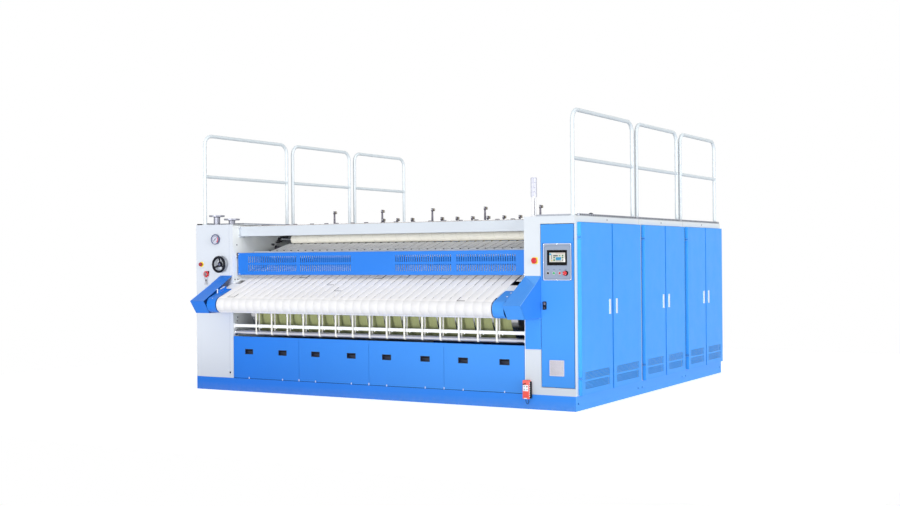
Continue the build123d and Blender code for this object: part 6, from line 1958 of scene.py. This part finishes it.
@dataclass
class ControlDoor:
    """Front control door with its vent, latch, panel, screen and keys."""

    face: float = -2.278
    panel_face: float = -2.2735
    row_z: float = 1.3695
    row_x: tuple[float, ...] = (2.169, 2.2335, 2.298, 2.3625)
    stop_radius: float = 0.0225

    def build(self, dresser: Dresser) -> None:
        """Dresses the door and adds its details."""
        dresser.paint(CONTROL_BLUE, "control_door")
        dresser.paint(PANEL_GREY, "operator_panel")
        dresser.paint(SCREEN_BLACK, "touch_screen")
        dresser.paint(GREEN, "start_key")
        dresser.paint(RED, "stop_key")
        dresser.paint(BLACK_PLASTIC, "mode_selector", "door_latch")
        self.vent()
        self.panel_trim()
        self.screen_picture()
        self.stop_head()
        latch = Piece("latch_insert")
        latch.box(
            DARK_STEEL, (2.119, self.face - 0.0165, 1.052), (2.143, self.face - 0.0140, 1.082),
            radius=0.003
        )
        latch.turn(
            DARK_STEEL, [(0.007, 0.0142), (0.007, 0.0172), (0, 0.0172)], (2.131, self.face, 1.022),
            FRONT, 20
        )
        latch.done("door_latch")

    def vent(self) -> None:
        """Filter mat behind a fine grille inside the pale frame."""
        piece = Piece("door_vent_grille")
        y = self.face - 0.008
        piece.box(
            VENT_CORE, (2.1885, y - 0.0010, 0.3525), (2.3335, y + 0.0005, 0.4975), radius=0.003
        )
        bar = block((2.1905, y - 0.0020, 0.356), (2.3315, y - 0.0008, 0.3585), radius=0.0005)
        piece.put(bar.repeated([(0, 0, 0.0072 * n) for n in range(20)]), PALE_PLASTIC)
        rim_o, rim_i = rounded_outline(0.157, 0.157, 0.006), rounded_outline(0.143, 0.143, 0.004)
        piece.put(hoop(rim_o, rim_i, 0.004, (2.261, y + 0.001, 0.425), FRONT), PALE_PLASTIC)
        piece.done("control_door")

    def panel_trim(self) -> None:
        """Pale outer rim, dark rounded line, corner and middle screws, and blank key tags."""
        piece = Piece("panel_trim")
        y = self.panel_face
        cx, cz = 2.268, 1.482
        piece.put(
            hoop(
                rounded_outline(0.306, 0.366, 0.010), rounded_outline(0.296, 0.356, 0.008), 0.0012,
                (cx, y, cz), FRONT
            ),
            PANEL_RIM
        )
        line_o = rounded_outline(0.286, 0.332, 0.026, 6)
        line_i = rounded_outline(0.280, 0.326, 0.023, 6)
        piece.put(hoop(line_o, line_i, 0.0014, (2.271, y, 1.477), FRONT), PANEL_LINE)
        spots = [(2.1205, y, 1.482), (2.4155, y, 1.482), (2.268, y, 1.6605), (2.268, y, 1.3035)]
        spots += [(x, y, z) for x in (2.1225, 2.4135) for z in (1.3065, 1.6575)]
        screws(piece, spots, FRONT, 0.0045, BRIGHT_STEEL)
        for x in self.row_x[:3]:
            piece.put(
                hoop(circle(0.0165, 28), circle(0.0120, 28), 0.0062, (x, y, self.row_z), FRONT),
                BRIGHT_STEEL
            )
        for x in self.row_x:
            piece.box(
                PANEL_LINE, (x - 0.010, y - 0.0008, self.row_z + 0.034),
                (x + 0.010, y, self.row_z + 0.040), radius=0.001
            )
        piece.done("control_door")

    def screen_picture(self) -> None:
        """Lit page of plain fields behind the glass: bars, keys and a blue button."""
        x0, x1, z0, z1 = 2.186, 2.358, 1.480, 1.574
        y = self.panel_face - 0.0052
        fields = (
            ((0.00, 0.00, 1.00, 1.00), 0.0, "#F3F4EC", "page"),
            ((0.00, 0.74, 0.12, 0.93), 0.2, "#35B7E6", "cyan"),
            ((0.12, 0.28, 0.17, 0.80), 0.2, "#9FA3A8", "grey"),
            ((0.11, 0.10, 0.20, 0.20), 0.2, "#E8C63A", "amber"),
            ((0.24, 0.60, 0.54, 0.74), 0.2, "#5D6468", "slate"),
            ((0.40, 0.85, 0.97, 0.97), 0.2, "#EAD9D4", "rose"),
            ((0.25, 0.40, 0.36, 0.55), 0.2, "#4E8F57", "green"),
            ((0.25, 0.12, 0.36, 0.30), 0.2, "#4E8F57", "green"),
            ((0.80, 0.62, 0.89, 0.76), 0.2, "#4E8F57", "green"),
            ((0.80, 0.40, 0.89, 0.55), 0.2, "#4E8F57", "green"),
            ((0.80, 0.14, 0.89, 0.28), 0.2, "#5D6468", "slate"),
            ((0.40, 0.20, 0.76, 0.52), 0.2, "#22A9DE", "button"),
            ((0.60, 0.62, 0.70, 0.74), 0.2, "#8FBF6B", "leaf"),
            ((0.40, 0.10, 0.76, 0.16), 0.2, "#9FA3A8", "grey")
        )
        piece = Piece("screen_picture")
        for (u0, v0, u1, v1), lift, colour, name in fields:
            lo = (x0 + u0 * (x1 - x0), y - 0.0003 - 0.001 * lift, z0 + v0 * (z1 - z0))
            hi = (x0 + u1 * (x1 - x0), y + 0.0003, z0 + v1 * (z1 - z0))
            piece.box(
                Glow("screen_field_" + name, colour, 0.15), lo, hi, radius=0.0012, edge=0.0001
            )
        piece.done("control_door")

    def stop_head(self) -> None:
        """Red mushroom with three pale turn marks, on the panel."""
        x = self.row_x[3]
        origin = (x, self.panel_face - 0.008, self.row_z)
        piece = Piece("panel_stop_mushroom")
        piece.turn(BLACK_PLASTIC, [(0.010, -0.043), (0.010, 0.014), (0, 0.014)], origin, FRONT, 24)
        piece.turn(RED, mushroom(self.stop_radius), origin, FRONT, 40)
        y, z = origin[1], self.row_z
        mark = block(
            (x - 0.0015, y - 0.0288, z + 0.0125), (x + 0.0015, y - 0.0265, z + 0.0175),
            radius=0.0005
        )
        piece.put(mark.turned_about(origin, 1, (20, 140, 260)), WHITE_PLASTIC)
        piece.done("panel_stop_button", ("panel_stop_button",))


# ------------------------------------------------------------------ roof
@dataclass
class Roof:
    """Roof sheets, walkway gratings, tension posts, signal tower, pipes and handrails."""

    edges: tuple[float, ...] = MODULE_EDGES
    deck: float = ROOF_Z
    sheet_top: float = 1.921
    tower_spot: Pair = (1.930, -2.100)
    pipe_y: float = -2.100
    pipe_tops: tuple[Pair, ...] = ((-2.287, 2.057), (-2.056, 2.012))

    def build(self, dresser: Dresser) -> None:
        """Makes everything above the cabinets."""
        self.sheets()
        self.posts()
        self.beam_trim()
        self.tower()
        dresser.paint(PIPE_STEEL, "steam_pipes")
        self.flange_rings()
        self.handrails()

    def sheets(self) -> None:
        """Screwed roof sheets with raised joints, open-bar gratings and slotted toe strips."""
        piece = Piece("roof_and_gratings")
        for n in range(3):
            y0 = max(self.edges[n], -2.140) + 0.001
            y1 = min(self.edges[n + 1], 2.140) - 0.001
            piece.box(
                WARM_WHITE, (-HALF_INSIDE, y0, 1.915), (HALF_INSIDE, y1, self.sheet_top), UP, 0.003
            )
            for x in (-0.95, 0.0, 0.95):
                piece.box(
                    WARM_WHITE, (x - 0.02, y0 + 0.01, 1.920), (x + 0.02, y1 - 0.01, 1.926), UP,
                    0.004, 0.002
                )
            spots = [
                (x, y, self.sheet_top)
                for x in np.linspace(-1.85, 1.85, 9)
                for y in (y0 + 0.03, y1 - 0.03)
            ]
            screws(piece, spots, UP, 0.007, BRIGHT_STEEL)
            for side in (1, -1):
                front = 0.300 if n == 0 and side < 0 else 0.130
                self.grating(piece, side, self.edges[n] + front, self.edges[n + 1] - 0.020)
                strip_y = self.edges[n] + (0.130 if n == 0 else 0.001)
                x0, x1 = side * 2.428, side * 2.452
                piece.box(
                    GRATING_STEEL, (x0, strip_y, self.deck),
                    (x1, self.edges[n + 1] - 0.001, self.deck + 0.026), UP, 0.002
                )
                length = self.edges[n + 1] - strip_y - 0.05
                # The slots are black patches on the strip: painted shade standing for the openings
                slot = block(
                    (side * 2.4523, strip_y + 0.02, self.deck + 0.007),
                    (side * 2.451, strip_y + 0.042, self.deck + 0.021), RIGHT, 0.002, 0.0002
                )
                count = int(length / 0.046)
                piece.put(slot.repeated([(0, 0.046 * k, 0) for k in range(count)]), BLACK_PLASTIC)
        piece.done("machine", ("roof_plates",))

    def grating(self, piece: Piece, side: int, y0: float, y1: float) -> None:
        """Upright bearing bars every 34 mm with cross rods inside a flat-bar frame."""
        x0, x1 = side * 1.980, side * 2.355
        low, high = self.deck, self.deck + 0.022
        bar = block((x0, y0, low), (x1, y0 + 0.003, high), RIGHT, 0.0005, 0.0003, 1)
        count = int((y1 - y0) / 0.034)
        pitch = (y1 - y0 - 0.003) / count
        piece.put(bar.repeated([(0, pitch * k, 0) for k in range(count + 1)]), GRATING_STEEL)
        rod = block(
            (x0, y0, high - 0.006), (x0 + side * 0.005, y1, high - 0.001), UP, 0.0008, 0.0003, 1
        )
        piece.put(rod.repeated([(side * 0.0615 * k, 0, 0) for k in range(7)]), GRATING_STEEL)
        for x in (x0, x1):
            piece.box(
                GRATING_STEEL, (x - side * 0.001, y0, low), (x + side * 0.002, y1, high), UP, 0.0005
            )

    def posts(self) -> None:
        """Belt tension posts: flanged foot, tapered rod, clamp head, tan knob and bright nuts."""
        piece = Piece("belt_tension_posts")
        y = -0.910
        low = [-0.700 + 0.2065 * n for n in range(10) if n != 3]
        for xs, height in (([(n - 2) * 0.710 for n in range(5)], 0.195), (low, 0.088)):
            rod = [
                (0.020, 0), (0.020, 0.006), (0.0145, 0.009), (0.0135, 0.016),
                (0.0105, height - 0.036), (0, height - 0.036)
            ]
            places = [(x, y, self.sheet_top) for x in xs]
            piece.put(turned(rod, (0, 0, 0), UP, 20).repeated(places), DARK_STEEL)
            head = block((-0.012, -0.013, height - 0.038), (0.014, 0.013, height), UP, 0.005, 0.003)
            arm = block(
                (0.010, -0.009, height - 0.030), (0.024, 0.009, height - 0.010), RIGHT, 0.004, 0.002
            )
            piece.put(head.repeated(places), DARK_STEEL).put(arm.repeated(places), IRON)
            knob = turned(
                [(0.012, 0.0), (0.0165, 0.002), (0.0165, 0.008), (0.012, 0.010), (0, 0.010)],
                (0.022, 0.0, height - 0.019), RIGHT, 20
            )
            nut = turned(
                [(0.0095, 0.0), (0.0095, 0.003), (0, 0.0035)], (0.032, 0.0, height - 0.019), RIGHT,
                6
            )
            piece.put(knob.repeated(places), TAN_METAL).put(nut.repeated(places), BRIGHT_STEEL)
            cap = turned(
                [(0.0085, 0.0), (0.0085, 0.003), (0, 0.0035)], (-0.002, -0.013, height - 0.014),
                FRONT, 6
            )
            piece.put(cap.repeated(places), BRIGHT_STEEL)
        piece.done("machine", ("tension_posts",))

    def beam_trim(self) -> None:
        """Tan strip and small dark clips along the front beam's top edge, and end-flange bolts."""
        piece = Piece("beam_trim")
        piece.box(TAN, (-1.895, -2.139, 1.9148), (1.895, -2.118, 1.9200), UP, 0.002)
        xs = np.array(
            [
                -1.56, -1.50, -1.21, -1.10, -0.86, -0.66, -0.52, -0.30, -0.12, 0.10, 0.27, 0.49,
                0.71, 0.88, 1.08, 1.27, 1.52, 1.70
            ]
        )
        clip = block((-0.022, -2.138, 1.918), (0.022, -2.112, 1.930), FRONT, 0.005, 0.003)
        piece.put(clip.repeated([(x, 0, 0) for x in xs]), DARK_STEEL)
        for side in (1, -1):
            x = side * 1.888
            hex_bolts(piece, [(x, -2.165, z) for z in (1.815, 1.895)], FRONT, 0.007, BRIGHT_STEEL)
        left = block((-2.455, -2.262, self.deck), (-2.400, -2.225, self.deck + 0.014), UP, 0.003)
        piece.put(left, BLACK_PLASTIC)
        plates = [
            ((-2.39, -2.20), (-2.31, -2.02)), ((-2.24, -1.98), (-1.99, -1.80)),
            ((-1.96, -2.02), (-1.915, -1.85))
        ]
        for (px, py), (qx, qy) in plates:
            piece.box(ROOF_GREY, (px, py, self.deck), (qx, qy, self.deck + 0.006), UP, 0.004)
        piece.turn(
            BLACK_PLASTIC,
            [
                (0.014, 0), (0.014, 0.010), (0.022, 0.014), (0.022, 0.030), (0.012, 0.036),
                (0, 0.036)
            ],
            (2.340, -1.600, self.deck + 0.010), UP, 20
        )
        piece.done("machine")

    def tower(self) -> None:
        """Signal tower: flanged foot, pole, ring joints and a tall frosted lens of four panes."""
        x, y = self.tower_spot
        piece = Piece("signal_tower_lamp")
        origin = (x, y, self.deck)
        piece.turn(
            WARM_WHITE,
            [
                (0.029, 0), (0.029, 0.009), (0.026, 0.012), (0.0225, 0.014), (0.022, 0.195),
                (0.027, 0.200), (0.027, 0.206)
            ],
            origin, UP, 36
        )
        lens = [(0.0265, 0.2055), (0.032, 0.207)]
        for k in range(4):
            z = 0.207 + 0.0475 * k
            lens += [
                (0.032, z + 0.002), (0.032, z + 0.0445), (0.0295, z + 0.0455), (0.0295, z + 0.0470)
            ]
        lens += [(0.032, 0.3975), (0.028, 0.4035), (0.018, 0.4055), (0, 0.4055)]
        piece.turn(LENS, lens, origin, UP, 40)
        for angle in (20, 110, 200, 290):
            rib = block(
                (x + 0.0315, y - 0.0022, self.deck + 0.209),
                (x + 0.0326, y + 0.0022, self.deck + 0.397), UP, 0.0005
            )
            piece.put(rib.turned_about((x, y, 0), 2, (angle,)), LENS_DIM)
        dark = block(
            (x - 0.004, y - 0.0228, self.deck + 0.020), (x + 0.004, y - 0.0215, self.deck + 0.190),
            UP, 0.0006
        )
        piece.put(dark.turned_about((x, y, 0), 2, (35,)), DARK_STEEL)
        screws(
            piece,
            [
                (x + 0.0322 * math.sin(0.6), y - 0.0322 * math.cos(0.6), self.deck + z)
                for z in (0.255, 0.302, 0.350)
            ],
            FRONT, 0.003, DARK_STEEL
        )
        piece.done("machine", ("signal_tower",))

    def flange_rings(self) -> None:
        """Short collars under the flanges, raised faces round their bores and rings on the roof."""
        piece = Piece("flange_necks")
        for x, top in self.pipe_tops:
            origin = (x, self.pipe_y, top)
            piece.turn(
                PIPE_STEEL,
                [(0.0384, -0.026), (0.0435, -0.0215), (0.0445, -0.0178), (0.0384, -0.0178)], origin,
                UP, 36
            )
            piece.put(hoop(circle(0.060, 40), circle(0.0353, 40), 0.0008, origin, UP), PIPE_STEEL)
            collar = (x, self.pipe_y, self.deck)
            piece.put(hoop(circle(0.052, 36), circle(0.0383, 36), 0.006, collar, UP), DARK_STEEL)
        piece.done("machine")

    def rail_line(self, y0: float, y1: float) -> Array:
        """Upright, quarter bend, level run, quarter bend and upright as points of (y, z)."""
        corner, top, foot = 0.120, RAIL_TOP_Z, 1.946
        t = np.linspace(math.pi, math.pi / 2, 9)
        bend = np.stack([y0 + corner + corner * np.cos(t), top - corner + corner * np.sin(t)], -1)
        other = np.stack([y0 + y1 - bend[::-1, 0], bend[::-1, 1]], -1)
        return np.concatenate(
            [[(y0, foot), (y0, 2.3)], bend, [((y0 + y1) / 2, top)], other, [(y1, 2.3), (y1, foot)]]
        )

    def handrails(self) -> None:
        """Bent hoops with a welded middle rail and bolted feet, three on each side."""
        piece = Piece("handrail_hoops")
        section = circle(0.021, 20)
        for side in (1, -1):
            x = side * 2.400
            for n in range(3):
                y0, y1 = self.edges[n] + 0.095, self.edges[n + 1] - 0.032
                piece.put(carried(self.rail_line(y0, y1), section, x, closed=False), RAIL_WHITE)
                ends = (y0 + 0.012, (y0 + y1) / 2, y1 - 0.012)
                middle = np.array([(y, RAIL_MIDDLE_Z) for y in ends])
                piece.put(carried(middle, circle(0.0195, 20), x, closed=False), RAIL_WHITE)
                for y, way in ((y0, 1), (y1, -1)):
                    bead = np.array([(y + way * d, RAIL_MIDDLE_Z) for d in (0.017, 0.021, 0.027)])
                    piece.put(carried(bead, circle(0.0222, 20), x, closed=False), RAIL_WHITE)
                    piece.box(
                        RAIL_WHITE, (x - 0.025, y - 0.0315, self.deck),
                        (x + 0.025, y + 0.0315, self.deck + 0.006), UP, 0.005
                    )
                    piece.turn(
                        RAIL_WHITE, [(0.0265, 0.0058), (0.0225, 0.012), (0.021, 0.014)],
                        (x, y, self.deck), UP, 24
                    )
                    bolts = [
                        (x + a * 0.017, y + b * 0.0265, self.deck + 0.006)
                        for a in (1, -1)
                        for b in (1, -1)
                    ]
                    screws(piece, bolts, UP, 0.0042, BRIGHT_STEEL)
        piece.done("machine", ("handrails",))


# ------------------------------------------------------------------ drive
@dataclass
class Drive:
    """Bearings and gearmotors inside the cabinets."""

    def build(self, dresser: Dresser) -> None:
        """Finned motors, ribbed gearboxes and bolted bearing blocks."""
        dresser.paint(IRON, "roll_bearings")
        piece = Piece("finned_gearmotors")
        x0, x1 = -2.120, -2.000
        for y in [FIRST_ROLL_Y + ROLL_PITCH * n for n in range(0, ROLLS, 2)]:
            piece.box(
                MOTOR_GREY, (x0, y - 0.140, 0.670), (x1, y + 0.140, 1.090), RIGHT, 0.030, 0.008, 3
            )
            for dy in (-0.10, -0.05, 0.0, 0.05, 0.10):
                piece.box(
                    MOTOR_GREY, (x0, y + dy - 0.004, 0.700), (x0 + 0.012, y + dy + 0.004, 0.860),
                    LEFT, 0.002
                )
            piece.turn(
                IRON, [(0.085, -0.001), (0.085, 0.006), (0.075, 0.009), (0.0602, 0.009)],
                (x1, y, ROLL_Z), RIGHT, 36
            )
            piece.box(IRON, (x1, y - 0.090, 0.670), (-1.9205, y + 0.090, 0.715), RIGHT, 0.006)
            origin = (-2.105, y + 0.140, 0.765)
            fins = [(0.060, 0.0), (0.084, 0.004)]
            for k in range(12):
                h = 0.02 + 0.02 * k
                fins += [(0.074, h), (0.088, h + 0.002), (0.088, h + 0.007), (0.074, h + 0.009)]
            fins += [(0.084, 0.272), (0.089, 0.280), (0.089, 0.308), (0.080, 0.318), (0.0, 0.320)]
            piece.turn(MOTOR_GREY, fins, origin, BACK, 28)
            hex_bolts(
                piece, [(x0, y + a * 0.12, z) for a in (1, -1) for z in (0.70, 1.06)], LEFT, 0.009,
                BRIGHT_STEEL
            )
        piece.done("machine", ("gearmotors",))
        bolts = Piece("bearing_bolts")
        for side, facing in SIDES:
            spots = [
                (side * 1.980, FIRST_ROLL_Y + ROLL_PITCH * n + dy, ROLL_Z + dz)
                for n in range(ROLLS) for dy in (0.085, -0.085) for dz in (0.085, -0.085)
            ]
            hex_bolts(bolts, spots, facing, 0.010, BRIGHT_STEEL)
        bolts.done("machine")


def main() -> None:
    """Builds the studio and every sub-assembly."""
    logging.basicConfig(level=logging.INFO, format="%(name)s: %(message)s")
    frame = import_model()
    dresser = Dresser(frame)
    Studio().build()
    RemoteControl().build()
    for assembly in (
        Body(), LeftControls(), FeedConveyor(), UpperConveyor(), IroningSection(), ReturnTapes(),
        GuardAndCovers(), ControlDoor(), Roof(), Drive()
    ):
        assembly.build(dresser)
        LOG.info("%s built", type(assembly).__name__)
    plain = [n for n, o in frame["nodes"].items() if n not in dresser.dressed and not o.hide_render]
    if plain:
        LOG.warning("nodes without a finish: %s", plain)


if __name__ == "__main__":
    main()
